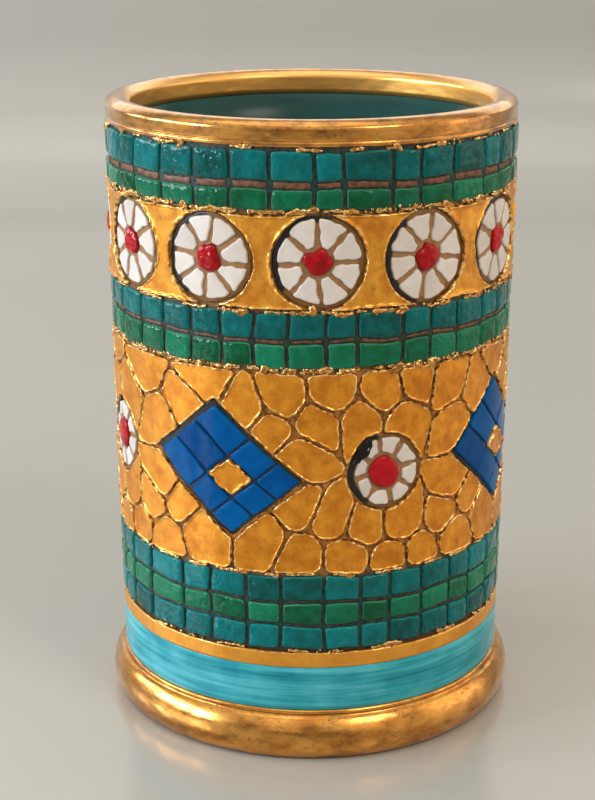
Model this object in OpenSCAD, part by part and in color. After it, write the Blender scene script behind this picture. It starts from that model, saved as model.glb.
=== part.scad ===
// Mosaic pot in gilded and glazed earthenware.
//
// A tapering clay cylinder with a rolled foot and a domed lip. The outside was glazed and then cut
// through to the clay, so the glaze stands in separate pads: bands of square tiles, a frieze of
// flower medallions, and a field of gilded crazy paving set with chequered lozenges and flowers.
//
// The origin is the middle of the foot on the table, +Z is up and the front faces -Y.
// Azimuth is in degrees from the front, positive to the right. All lengths are millimetres.

/* [Body] */
// Height from the table to the crest of the lip
overall_height = 138; // [130:1:165]
// Diameter at the widest part of the foot, which sets the wall above it
foot_d = 93; // [86:0.2:104]
// How much wider the clay wall is under the lip than above the foot
wall_flare = 2.6; // [0:0.1:6]
// Thickness of the clay wall
wall_t = 4.4; // [3:0.1:6]
// Thickness of the clay floor
floor_t = 6; // [4:0.5:9]
// Rounding between the wall and the floor inside
inside_fillet = 5; // [2:0.5:8]

/* [Lip] */
// How far the gilded lip stands out from the clay wall
lip_overhang = 0.6; // [0.5:0.1:1.5]
// Height of the gilding on the outside of the lip
gilt_out_h = 5.1; // [4:0.1:8]
// Height of the gilding on the inside of the lip
gilt_in_h = 5.6; // [4:0.1:9]
// Radius of the dome over the crest, as a share of half the width of the lip
lip_dome = 1.25; // [1.1:0.05:2]
// Way from the lower edge of the outside gilding up to the line cut in it
lip_line_up = 0.8; // [0.5:0.1:1.2]
// Width of that line
lip_line_w = 0.35; // [0.2:0.05:0.5]

/* [Foot] */
// Height of the gilded foot
foot_h = 11.2; // [9:0.1:14]
// Radius of the roll of the foot in section, as a share of its height
foot_roll = 0.607; // [0.6:0.001:0.7]
// Height of the widest part of the foot, as a share of its height
foot_widest = 0.429; // [0.42:0.001:0.48]
// Height of the flat step above the roll
foot_step_h = 1; // [0.6:0.1:2]
// Flat shelf of clay that carries the step
foot_shelf = 0.14; // [0.1:0.02:0.3]
// Width of the line cut under the step
foot_line_w = 0.5; // [0.3:0.05:0.8]
// Bare clay below the gilding of the foot
foot_bare_h = 0.5; // [0.4:0.1:1.5]
// Depth of the hollow under the floor
recess_h = 2.5; // [1.5:0.1:4]
// Width of the ring of clay that the pot stands on
stand_w = 7; // [5:0.5:10]

/* [Glaze] */
// Thickness of the glaze pads on the wall
glaze_t = 0.7; // [0.4:0.05:1.2]
// Thickness of the lining and of the gilded coats
coat_t = 0.4; // [0.3:0.05:0.6]
// Clearance between the clay wall and the pads seated on it
seat = 0.02; // [0.01:0.01:0.1]
// Width of the cut lines between pads
joint = 1.1; // [0.6:0.1:1.8]
// Bevel on the long edges of the tiles
tile_bevel = 0.25; // [0.1:0.05:0.35]

/* [Bands, from the lip down] */
// Height of the upper teal tiles
upper_teal_h = 5.6; // [4:0.1:8]
// Bare clay between the two upper rows
upper_gap = 2.1; // [1:0.1:3]
// Height of the upper green tiles
upper_green_h = 3.6; // [3:0.1:7]
// Height of the flower frieze
frieze_h = 19.3; // [16:0.1:22]
// Height of the middle teal tiles
middle_teal_h = 4.8; // [3:0.1:7]
// Bare clay between the two middle rows
middle_gap = 1.5; // [1:0.1:3]
// Height of the middle green tiles
middle_green_h = 4.8; // [3:0.1:7]
// Height of the lower teal tiles
lower_teal_h = 5.1; // [3:0.1:7]
// Height of the lower green tiles
lower_green_h = 4.1; // [3:0.1:7]
// Height of the teal tiles at the base
base_teal_h = 4.7; // [3:0.1:7]
// Height of the plain gilt stripe
stripe_h = 3.4; // [2:0.1:6]
// Height of the brushed turquoise band
turquoise_h = 10; // [6:0.1:14]

/* [Tile seams] */
// Tiles in one turn of the upper rows
upper_tiles = 34; // [24:1:44]
// Unevenness of the upper seams, as a share of their pitch
upper_wobble = 0.16; // [0:0.02:0.28]
// Tiles in one turn of the middle rows
middle_tiles = 36; // [24:1:44]
// Unevenness of the middle seams, as a share of their pitch
middle_wobble = 0.24; // [0:0.02:0.28]
// Tiles in one turn of the lower rows
lower_tiles = 34; // [24:1:44]
// Unevenness of the lower seams, as a share of their pitch
lower_wobble = 0.26; // [0:0.02:0.28]

/* [Flowers] */
// Medallions in one turn of the frieze
medallions = 12; // [8:1:12]
// Azimuth of the first medallion
medallion_az = 2; // [-15:0.5:15]
// Clay left above and below the petals of a medallion
medallion_margin = 0.9; // [0.5:0.1:2]
// Diameter of the red centre of a medallion
medallion_dot_d = 5.6; // [4:0.1:7]
// Diameter of the petals of a flower in the field
flower_d = 14.8; // [12:0.1:18]
// Diameter of the red centre of a flower in the field
flower_dot_d = 6.8; // [5:0.1:8]
// Petals of each flower
petals = 8; // [6:1:10]
// Width of the cut lines between petals
spoke_w = 1; // [0.6:0.1:1.4]
// Width of the cut line round a red centre
dot_joint = 0.5; // [0.3:0.1:1.2]
// How far the red centres stand above the petals
dot_rise = 0.5; // [0.2:0.1:1]

/* [Lozenges] */
// Lozenges around the field, with as many flowers between them
lozenges = 4; // [3:1:4]
// Azimuth of the first lozenge
lozenge_az = -24.5; // [-45:0.5:45]
// Length of the edge that runs down to the right
lozenge_long = 24.6; // [18:0.2:27]
// Length of the edge that runs up to the right
lozenge_short = 19.8; // [15:0.2:23]
// Slope of both edges
lozenge_slope = 40; // [35:1:45]
// Tiles along each edge
lozenge_side = 3; // [3:2:5]
// Share of the long edge that its first tile takes
lozenge_first = 0.43; // [0.3:0.01:0.46]
// Share of the long edge that its last tile takes
lozenge_last = 0.25; // [0.2:0.01:0.34]
// Width of the cut lines between the tiles of a lozenge
lozenge_joint = 0.6; // [0.5:0.1:1.2]

/* [Paving] */
// Height of a paving cell
paving_h = 7.6; // [7:0.2:12]
// Width of a paving cell
paving_w = 8.8; // [7:0.1:13]
// Width of the cut lines between the cells
paving_joint = 0.6; // [0.5:0.1:1.4]
// Cut at the corners of a cell
paving_corner = 1.1; // [0.4:0.1:2]
// Scatter of the cells, as a share of their size
paving_scatter = 0.22; // [0:0.02:0.3]
// Seed of the scatter
paving_seed = 3; // [1:1:400]
// Way from a lozenge to the middles of the cells that ring it
ring_out = 4; // [3:0.1:5]
// Way from a flower to the middles of the cells that ring it
flower_ring = 5; // [3:0.1:6]
// Way from a corner of a lozenge to the middles of the cells on both sides of it
ring_corner = 5; // [4:0.1:6]
// Cells in the ring about a flower
ring_cells = 8; // [5:1:9]
// Least way from the ring of a flower to that of a lozenge, as a share of the width of a cell
flower_clear = 1; // [0.5:0.05:1]
// Least way from the other middles to the rings, as a share of the width of a cell
ring_clear = 0.74; // [0.5:0.02:0.9]

/* [Hidden] */
$fn = 120;
upper_seed = 168;
upper_az = 30.9;
middle_seed = 312;
middle_az = 34.5;
lower_seed = 233;
lower_az = 266;
spin_seed = 5;
gold = "#c8882a";
teal = "#0f7f86";
green = "#177a55";
cobalt = "#1550a8";
turquoise = "#2f9aa8";
white = "#e6e4e2";
red = "#b0131d";
clay = "#8a5f45";

// Heights of the bands: those below the field stack on the foot, those above hang from the lip.
z_stripe = foot_h + turquoise_h;
z_base_teal = z_stripe + stripe_h + joint;
z_lower_green = z_base_teal + base_teal_h + joint;
z_lower_teal = z_lower_green + lower_green_h + joint;
z_field = z_lower_teal + lower_teal_h + joint;
z_lip = overall_height - gilt_out_h;
z_upper_teal = z_lip - joint - upper_teal_h;
z_upper_green = z_upper_teal - upper_gap - upper_green_h;
z_frieze = z_upper_green - joint - frieze_h;
z_middle_teal = z_frieze - joint - middle_teal_h;
z_middle_green = z_middle_teal - middle_gap - middle_green_h;
field_h = z_middle_green - joint - z_field;

// The foot is a roll with a flat step on top, and the wall stands on the step.
step_z = foot_h - foot_step_h;
roll_r = foot_roll * foot_h;
roll_c = [foot_d / 2 - roll_r, foot_widest * foot_h];
wall_bottom_r = roll_c.x + sqrt(pow(roll_r - coat_t, 2) - pow(step_z - roll_c.y, 2)) - foot_shelf;
stand_r = roll_c.x + sqrt(pow(roll_r - coat_t, 2) - pow(roll_c.y, 2)) - stand_w;

// Radius of the bare clay wall, outside and inside, at a height.
function wall_r(z) = wall_bottom_r + wall_flare / 2 * (z - foot_h) / (z_lip - foot_h);
function inside_r(z) = wall_r(z) - wall_t;

// Section of the floor, the lip and the step.
floor_z = recess_h + floor_t;
z_lining = overall_height - gilt_in_h;
lip_in_r = inside_r(z_lining);
lip_out_r = wall_r(z_lip) + lip_overhang - coat_t;
lip_r = (lip_out_r - lip_in_r) / 2;
lip_mid_r = (lip_out_r + lip_in_r) / 2;
step_r = wall_r(foot_h) + glaze_t + coat_t;

// The flowers and the lozenges of the field share its middle line, turn and turn about.
motif_z = z_field + field_h / 2;
motif_turn = 360 / lozenges;
flower_az = lozenge_az + motif_turn / 2;
field_r = wall_r(motif_z) + glaze_t / 2;
mm_per_deg = field_r * PI / 180;
run_down = [cos(lozenge_slope), -sin(lozenge_slope)];
run_up = [cos(lozenge_slope), sin(lozenge_slope)];
medallion_d = frieze_h - 2 * medallion_margin;

// Bevelled section of a ring of glaze on the wall.
function ring_section(z0, z1, t, b = 0) = [
    [wall_r(z0) + seat, z0],
    [wall_r(z0) + t - b, z0],
    [wall_r(z0 + b) + t, z0 + b],
    [wall_r(z1 - b) + t, z1 - b],
    [wall_r(z1) + t - b, z1],
    [wall_r(z1) + seat, z1]
];

// Points of an arc about c.
function arc(c, r, from, to, n = 10) =
    [for (i = [0 : n]) let (a = from + (to - from) * i / n) c + r * [cos(a), sin(a)]];

// A ring of glaze on the wall between two heights.
module wall_ring(z0, z1, t = glaze_t) {
    rotate_extrude() polygon(ring_section(z0, z1, t, t / 8));
}

// The clay wall as a solid core, used to seat raised pieces on its surface.
module wall_core(z0, z1) {
    rotate_extrude() polygon([[0, z0], [wall_r(z0) + seat, z0], [wall_r(z1) + seat, z1], [0, z1]]);
}

// Stands a flat outline on the wall: x runs round to the right, y up, and it is extruded outward
// from `depth` under the clay surface.
module on_wall(az, z, depth) {
    rotate([90, 0, az])
        translate([0, z, wall_r(z) - depth])
            linear_extrude(depth + glaze_t + 2) children();
}

// Section of the space inside the pot, drawn in by t.
module inside_2d(t) {
    tilt = atan((inside_r(z_lining) - inside_r(floor_z)) / (z_lining - floor_z));
    r = inside_fillet - t;
    c = [inside_r(floor_z + inside_fillet) - t - r / cos(tilt), floor_z + inside_fillet];
    polygon(concat(
        [[0, floor_z + t]],
        arc(c, r, -90, -tilt),
        [[lip_in_r - t, z_lining], [lip_in_r - t, overall_height + 5], [0, overall_height + 5]]
    ));
}

// Section of the lip, grown by t and reaching down to z0: upright sides under a low dome.
module lip_2d(t, z0) {
    dome = lip_dome * lip_r;
    intersection() {
        translate([lip_mid_r - lip_r - t, z0]) square([2 * (lip_r + t), overall_height - z0 + 1]);
        union() {
            translate([lip_mid_r, overall_height - coat_t - dome]) circle(dome + t);
            translate([lip_mid_r - dome - t, z0]) square([2 * (dome + t), overall_height - coat_t - dome - z0]);
        }
    }
}

// Section of the roll of the foot, drawn in by t and starting at z0.
module roll_2d(t, z0) {
    intersection() {
        translate(roll_c) circle(roll_r - t);
        translate([roll_c.x, z0]) square([2 * roll_r, step_z - z0]);
    }
}

// Section of the clay: a tapering wall between the rolled foot and the lip, hollow above and below.
module clay_2d() {
    difference() {
        union() {
            polygon([
                [0, 0], [roll_c.x + 1, 0], [wall_r(step_z), step_z],
                [wall_r(z_lip), z_lip], [0, z_lip]
            ]);
            roll_2d(coat_t, 0);
            lip_2d(0, z_lip);
        }
        inside_2d(0);
        translate([-1, -1]) square([stand_r + 1, recess_h + 1]);
    }
}

module clay_body() {
    color(clay) rotate_extrude() clay_2d();
}

module inner_glaze() {
    color(teal) rotate_extrude() difference() {
        inside_2d(0);
        inside_2d(coat_t);
        translate([-1, z_lining]) square([foot_d, overall_height]);
    }
}

module gilt_lip() {
    color(gold) rotate_extrude() difference() {
        lip_2d(coat_t, z_lining);
        clay_2d();
        translate([lip_mid_r, z_lining - 1]) square([foot_d, z_lip - z_lining + 1]);
        translate([lip_out_r + coat_t / 2, z_lip + lip_line_up]) square([foot_d, lip_line_w]);
    }
}

module gilt_foot() {
    color(gold) rotate_extrude() difference() {
        union() {
            roll_2d(0, foot_bare_h);
            polygon([
                [wall_r(step_z), step_z], [step_r, step_z], [step_r, foot_h], [wall_r(foot_h), foot_h]
            ]);
        }
        clay_2d();
        difference() {
            translate([roll_c.x, step_z - foot_line_w]) square([2 * roll_r, foot_line_w]);
            roll_2d(coat_t / 2, 0);
        }
    }
}

module turquoise_band() {
    color(turquoise) wall_ring(foot_h, z_stripe);
}

module gilt_stripe() {
    color(gold) wall_ring(z_stripe, z_stripe + stripe_h);
}

// One turn of tiles with uneven seams. Rows with the same seed share their seams.
module tile_row(z, h, count, wobble, seed, az) {
    pitch = 360 / count;
    shift = rands(-1, 1, count, seed);
    cut = joint / wall_r(z) * 180 / PI;
    for (i = [0 : count - 1]) {
        from = az + (i + wobble * shift[i]) * pitch;
        to = az + (i + 1 + wobble * shift[(i + 1) % count]) * pitch;
        rotate([0, 0, from + cut / 2 - 90])
            rotate_extrude(angle = to - from - cut)
                polygon(ring_section(z, z + h, glaze_t, tile_bevel));
    }
}

module upper_tiles(z, h) tile_row(z, h, upper_tiles, upper_wobble, upper_seed, upper_az);

module middle_tiles(z, h) tile_row(z, h, middle_tiles, middle_wobble, middle_seed, middle_az);

module lower_tiles(z, h) tile_row(z, h, lower_tiles, lower_wobble, lower_seed, lower_az);

module upper_teal_tiles() color(teal) upper_tiles(z_upper_teal, upper_teal_h);

module upper_green_tiles() color(green) upper_tiles(z_upper_green, upper_green_h);

module middle_teal_tiles() color(teal) middle_tiles(z_middle_teal, middle_teal_h);

module middle_green_tiles() color(green) middle_tiles(z_middle_green, middle_green_h);

module lower_teal_tiles() color(teal) lower_tiles(z_lower_teal, lower_teal_h);

module lower_green_tiles() color(green) lower_tiles(z_lower_green, lower_green_h);

module base_teal_tiles() color(teal) lower_tiles(z_base_teal, base_teal_h);

// The petals of one flower, cut apart by spokes and by a ring round the centre.
module flower_petals(az, z, d, dot_d, spin) {
    color(white) intersection() {
        wall_ring(z - d / 2 - 1, z + d / 2 + 1);
        on_wall(az, z, d / 4) difference() {
            circle(d = d);
            circle(d = dot_d + 2 * dot_joint);
            for (k = [0 : petals - 1])
                rotate(spin + k * 360 / petals)
                    translate([0, -spoke_w / 2]) square([d, spoke_w]);
        }
    }
}

// The domed red centre of one flower, seated on the clay.
module flower_dot(az, z, d) {
    rise = glaze_t + dot_rise;
    dome_r = (pow(d / 2, 2) + pow(dot_rise, 2)) / (2 * dot_rise);
    color(red) difference() {
        rotate([90, 0, az]) translate([0, z, wall_r(z)]) intersection() {
            translate([0, 0, -2]) cylinder(d = d, h = rise + 3);
            translate([0, 0, rise - dome_r]) sphere(dome_r);
        }
        wall_core(z - d, z + d);
    }
}

function medallion_at(k) = medallion_az + (k - 1) * 360 / medallions;
function flower_at(k) = flower_az + (k - 1) * motif_turn;
function lozenge_at(k) = lozenge_az + (k - 1) * motif_turn;
function spin_of(k) = rands(0, 360 / petals, medallions + lozenges, spin_seed)[k - 1];
z_medallion = z_frieze + frieze_h / 2;

module medallion_petals(k) {
    flower_petals(medallion_at(k), z_medallion, medallion_d, medallion_dot_d, spin_of(k));
}

module medallion_centre(k) {
    flower_dot(medallion_at(k), z_medallion, medallion_dot_d);
}

module flower_k_petals(k) {
    flower_petals(flower_at(k), motif_z, flower_d, flower_dot_d, spin_of(medallions + k));
}

module flower_k_centre(k) {
    flower_dot(flower_at(k), motif_z, flower_dot_d);
}

// The gilded ground of the frieze, cut away round every medallion.
module frieze_ground() {
    color(gold) difference() {
        wall_ring(z_frieze, z_frieze + frieze_h);
        for (k = [1 : medallions])
            on_wall(medallion_at(k), z_medallion, medallion_d / 4)
                circle(d = medallion_d + 2 * joint);
    }
}

// Share of the long edge before its tile i. The hand cut the first tiles long and the last ones short.
function before_tile(i) =
    i == 0 ? 0
    : i == lozenge_side ? 1
    : lozenge_first + (i - 1) * (1 - lozenge_first - lozenge_last) / (lozenge_side - 2);

// Outline of tile i, j of a lozenge, counted from its left corner and wrapped on to the wall.
function lozenge_tile(i, j, gap) =
    let (
        a = lozenge_long * (before_tile(i + 1) - before_tile(i)),
        b = lozenge_short / lozenge_side,
        s = gap / 2 / sin(2 * lozenge_slope),
        corner = [-lozenge_long / 2, -lozenge_short / 2] + [lozenge_long * before_tile(i), j * b]
    )
    wrapped([
        for (q = [[s, s], [a - s, s], [a - s, b - s], [s, b - s]])
            run_down * (corner.x + q.x) + run_up * (corner.y + q.y)
    ]);

// A flat outline as the wall shows it end on.
function wrapped(outline) = [for (p = outline) [field_r * sin(p.x / mm_per_deg), p.y]];

module lozenge_pads(k, keep_middle) {
    mid = (lozenge_side - 1) / 2;
    intersection() {
        wall_ring(z_field, z_field + field_h);
        on_wall(lozenge_at(k), motif_z, lozenge_long / 4)
            for (i = [0 : lozenge_side - 1])
                for (j = [0 : lozenge_side - 1])
                    if ((i == mid && j == mid) == keep_middle)
                        polygon(lozenge_tile(i, j, lozenge_joint));
    }
}

module lozenge_tiles(k) color(cobalt) lozenge_pads(k, false);

module lozenge_centre(k) color(gold) lozenge_pads(k, true);

// Turns an azimuth difference into the range from -span/2 to span/2.
function near_turn(a, span) = a - span * round(a / span);

// How far a point of the field lies outside the nearest lozenge or flower, in millimetres.
function outside_lozenge(p) =
    let (
        q = [near_turn(p.x - lozenge_az, motif_turn) * mm_per_deg, p.y - motif_z],
        rise = sin(2 * lozenge_slope),
        across_long = abs(cross(run_down, q)) - lozenge_short * rise / 2,
        across_short = abs(cross(run_up, q)) - lozenge_long * rise / 2
    )
    max(across_long, across_short);
function outside_flower(p) =
    norm([near_turn(p.x - flower_az, motif_turn) * mm_per_deg, p.y - motif_z]) - flower_d / 2;
function outside_motifs(p) = min(outside_lozenge(p), outside_flower(p));

// Middles of the cells that ring a motif. Those on both sides of a corner of a lozenge mirror each
// other, so that a cut line runs out from the corner, and the long edges have one more between.
function ring_lozenge() =
    let (
        a = lozenge_long / 2,
        b = lozenge_short / 2,
        out = ring_out / sin(2 * lozenge_slope)
    )
    [
        for (i = [-1, 1]) each [
            run_up * i * (b + out),
            for (j = [-1, 1]) each [
                run_down * i * (a - ring_corner) + run_up * j * (b + out),
                run_down * i * (a + out) + run_up * j * (b - ring_corner)
            ]
        ]
    ];
function ring_flower() = [
    for (k = [0 : ring_cells - 1])
        let (a = (k + 0.5) * 360 / ring_cells)
        (flower_d / 2 + flower_ring) * [sin(a), cos(a)]
];
function around_motif(az, ring, n) = [
    for (i = [0 : len(ring) - 1])
        [az + (ring[i].x + 2 * scatter[n + i]) / mm_per_deg, motif_z + ring[i].y + 2 * scatter[n + i + 1]]
];

// Middles of all the paving cells: the rings, and scattered staggered rows clear of them.
paving_rows = max(2, round(field_h / paving_h));
paving_cols = round(360 * mm_per_deg / paving_w);
scatter = rands(-paving_scatter, paving_scatter, 2 * paving_rows * paving_cols, paving_seed);
function way_to(p, all) = min([
    for (q = all) norm([near_turn(p.x - q.x, 360) * mm_per_deg, p.y - q.y])
]);
lozenge_rings = [for (k = [1 : lozenges]) each around_motif(lozenge_at(k), ring_lozenge(), 3 * k)];
rings = concat(lozenge_rings, [
    for (k = [1 : lozenges])
        for (p = around_motif(flower_at(k), ring_flower(), 5 * k))
            if (way_to(p, lozenge_rings) > flower_clear * paving_w) p
]);
paving = concat(rings, [
    for (j = [0 : paving_rows - 1])
        for (i = [0 : paving_cols - 1])
            let (
                n = 2 * (j * paving_cols + i),
                p = [
                    (i + (j % 2) / 2 + scatter[n]) * 360 / paving_cols,
                    z_field + (j + 0.5 + scatter[n + 1]) * field_h / paving_rows
                ]
            )
            if (outside_motifs(p) > ring_out && way_to(p, rings) > ring_clear * paving_w) p
]);

// Keeps the part of a convex outline that lies within `way` of the origin along d.
function trim(outline, d, way) = [
    for (i = [0 : len(outline) - 1])
        let (
            a = outline[i],
            b = outline[(i + 1) % len(outline)],
            ha = a * d - way,
            hb = b * d - way
        )
        each concat(ha <= 0 ? [a] : [], ha * hb < 0 ? [a + (b - a) * ha / (ha - hb)] : [])
];

// Trims an outline half way to every neighbour, less half a cut line.
function trim_all(outline, ways, i = 0) =
    i == len(ways) ? outline
    : trim_all(trim(outline, ways[i] / norm(ways[i]), (norm(ways[i]) - paving_joint) / 2), ways, i + 1);

// Cuts the corners of an outline, by no more than a third of its edges.
function cut_corners(outline, c) = [
    for (i = [0 : len(outline) - 1])
        let (
            n = len(outline),
            b = outline[i],
            to_a = outline[(i + n - 1) % n] - b,
            to_c = outline[(i + 1) % n] - b
        )
        each [
            b + to_a * min(1 / 3, c / norm(to_a)),
            b + to_c * min(1 / 3, c / norm(to_c))
        ]
];

// Outline of the cell about p, the part of the field nearer to p than to any other middle.
function cell(p) =
    let (
        reach = 2.5 * max(paving_w, paving_h),
        low = z_field - p.y,
        high = z_field + field_h - p.y,
        box = [[-reach, low], [reach, low], [reach, high], [-reach, high]],
        ways = [
            for (q = paving)
                let (way = [near_turn(q.x - p.x, 360) * mm_per_deg, q.y - p.y])
                if (way != [0, 0] && norm(way) < 2 * reach) way
        ]
    )
    cut_corners(trim_all(box, ways), paving_corner);

// The outlines that the paving leaves free.
module motif_cut(p) {
    lozenge = lozenge_az + motif_turn * round((p.x - lozenge_az) / motif_turn);
    flower = flower_az + motif_turn * round((p.x - flower_az) / motif_turn);
    s = -joint / sin(2 * lozenge_slope);
    a = lozenge_long / 2 - s;
    b = lozenge_short / 2 - s;
    on_wall(lozenge, motif_z, lozenge_long / 4)
        polygon(wrapped([for (q = [[-a, -b], [a, -b], [a, b], [-a, b]]) run_down * q.x + run_up * q.y]));
    on_wall(flower, motif_z, flower_d / 4) circle(d = flower_d + 2 * joint);
}

module gilt_paving() {
    color(gold) for (p = paving) difference() {
        intersection() {
            wall_ring(z_field, z_field + field_h);
            on_wall(p.x, p.y, paving_w / 4) polygon(wrapped(cell(p)));
        }
        if (outside_motifs(p) < 1.2 * max(paving_w, paving_h)) motif_cut(p);
    }
}

function named(stem, k, part) = str(stem, k < 10 ? "_0" : "_", k, "_", part);

clay_body();
inner_glaze();
gilt_lip();
gilt_foot();
turquoise_band();
gilt_stripe();
upper_teal_tiles();
upper_green_tiles();
frieze_ground();
middle_teal_tiles();
middle_green_tiles();
gilt_paving();
lower_teal_tiles();
lower_green_tiles();
base_teal_tiles();
for (k = [1 : medallions]) {
    medallion_petals(k);
    medallion_centre(k);
}
for (k = [1 : lozenges]) {
    flower_k_petals(k);
    flower_k_centre(k);
    lozenge_tiles(k);
    lozenge_centre(k);
}
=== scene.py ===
"""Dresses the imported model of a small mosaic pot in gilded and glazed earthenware.

The pot is a thrown clay cylinder. Its outside was glazed and gilded, and the pattern was then cut back to
the clay by hand, so that the glazes and the gold stand on the wall as separate pads. The outlines of the
pads are read from the CAD nodes, cut a little unevenly as a hand tool leaves them, and pressed on to the wall
by a Geometry Nodes tree.

Lengths here are millimetres, and Blender's own are metres. Azimuth runs from the front, positive to the
right.
"""

import logging
import math
from dataclasses import dataclass, field, replace
from enum import Enum
from functools import partial
from typing import Any, Iterable, Sequence

import bpy
import numpy as np
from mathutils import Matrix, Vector, noise
from mathutils.geometry import delaunay_2d_cdt


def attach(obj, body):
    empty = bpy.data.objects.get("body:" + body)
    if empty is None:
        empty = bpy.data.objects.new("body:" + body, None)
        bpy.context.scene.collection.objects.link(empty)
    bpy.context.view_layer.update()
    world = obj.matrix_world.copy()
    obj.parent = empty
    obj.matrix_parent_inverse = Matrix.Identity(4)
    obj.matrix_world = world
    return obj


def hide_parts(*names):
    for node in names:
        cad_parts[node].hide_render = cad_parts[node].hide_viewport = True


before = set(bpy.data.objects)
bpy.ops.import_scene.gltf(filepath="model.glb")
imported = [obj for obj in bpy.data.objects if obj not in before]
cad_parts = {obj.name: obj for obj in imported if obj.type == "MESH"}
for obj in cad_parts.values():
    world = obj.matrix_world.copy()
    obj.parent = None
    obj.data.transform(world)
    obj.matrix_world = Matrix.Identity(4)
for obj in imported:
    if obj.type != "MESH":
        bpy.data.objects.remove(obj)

LOG = logging.getLogger("mosaic_pot")
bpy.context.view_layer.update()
MM = 0.001
BODY = "root"
WAVER_SEED = 7
GLASS_IOR = 1.52
Colour = tuple[float, float, float, float]
Pair = tuple[float, float]
Point = tuple[float, float]
Socket = bpy.types.NodeSocket


class Slot(Enum):
    """Material slots of the part's record."""

    CLAY = "clay"
    LINING = "lining_glaze"
    GOLD = "gold_lustre"
    TURQUOISE = "turquoise_glaze"
    TEAL = "teal_glaze"
    GREEN = "green_glaze"
    WHITE = "white_glaze"
    RED = "red_glaze"
    COBALT = "cobalt_glaze"


# Small tools


def linear(code: str) -> Colour:
    """Turns an sRGB colour into the linear one that shaders take.

    Args:
        code: The colour as "#rrggbb".

    Returns:
        Linear red, green and blue, and an alpha of one.
    """
    parts = [int(code[i : i + 2], 16) / 255.0 for i in (1, 3, 5)]
    red, green, blue = (c / 12.92 if c <= 0.04045 else ((c + 0.055) / 1.055) ** 2.4 for c in parts)
    return (red, green, blue, 1.0)


def per_mm(size: float) -> float:
    """Returns the texture scale, per metre, whose features measure `size` millimetres."""
    return 1.0 / (size * MM)


def add_node(
    tree: bpy.types.NodeTree, kind: str, inputs: dict | None = None, **settings: Any
) -> bpy.types.Node:
    """Adds a node with its settings and links.

    Args:
        tree: The tree that takes the node.
        kind: Blender's name for the kind of node.
        inputs: Values or output sockets for the node's inputs, by their name or index.
        **settings: Values for the node's own properties. `stops` fills a colour ramp.

    Returns:
        The new node.
    """
    node = tree.nodes.new(kind)
    for name, value in settings.items():
        if name == "stops":
            for place, colour in value[2:]:
                node.color_ramp.elements.new(place)
            for element, (place, colour) in zip(node.color_ramp.elements, value):
                element.position, element.color = place, colour
        else:
            setattr(node, name, value)
    for key, value in (inputs or {}).items():
        if isinstance(value, bpy.types.NodeSocket):
            tree.links.new(value, node.inputs[key])
        else:
            node.inputs[key].default_value = value
    return node


def hand_over(piece: bpy.types.Object, slot: Slot, *nodes: str) -> None:
    """Ties a finished piece to the frame and reports it.

    Args:
        piece: The piece, at the origin.
        slot: The record's material slot of its finish; not used.
        *nodes: The CAD nodes that it stands for.
    """
    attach(piece, BODY)
    if nodes:
        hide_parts(*nodes)
    LOG.info("%s: %d faces for %s", piece.name, len(piece.data.polygons), ", ".join(nodes) or "no node")


# Finishes


@dataclass(frozen=True)
class Finish:
    """A finish of the pot, named for what the real one is."""

    name: str

    def material(self) -> bpy.types.Material:
        """Builds the material once.

        Returns:
            The material.
        """
        found = bpy.data.materials.get(self.name)
        if found:
            return found
        made = bpy.data.materials.new(self.name)
        made.use_nodes = True
        self.dress(made.node_tree, made.node_tree.nodes["Principled BSDF"])
        return made

    def dress(self, tree: bpy.types.NodeTree, shader: bpy.types.Node) -> None:
        """Adds the nodes. Each finish has its own."""
        raise NotImplementedError


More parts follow.
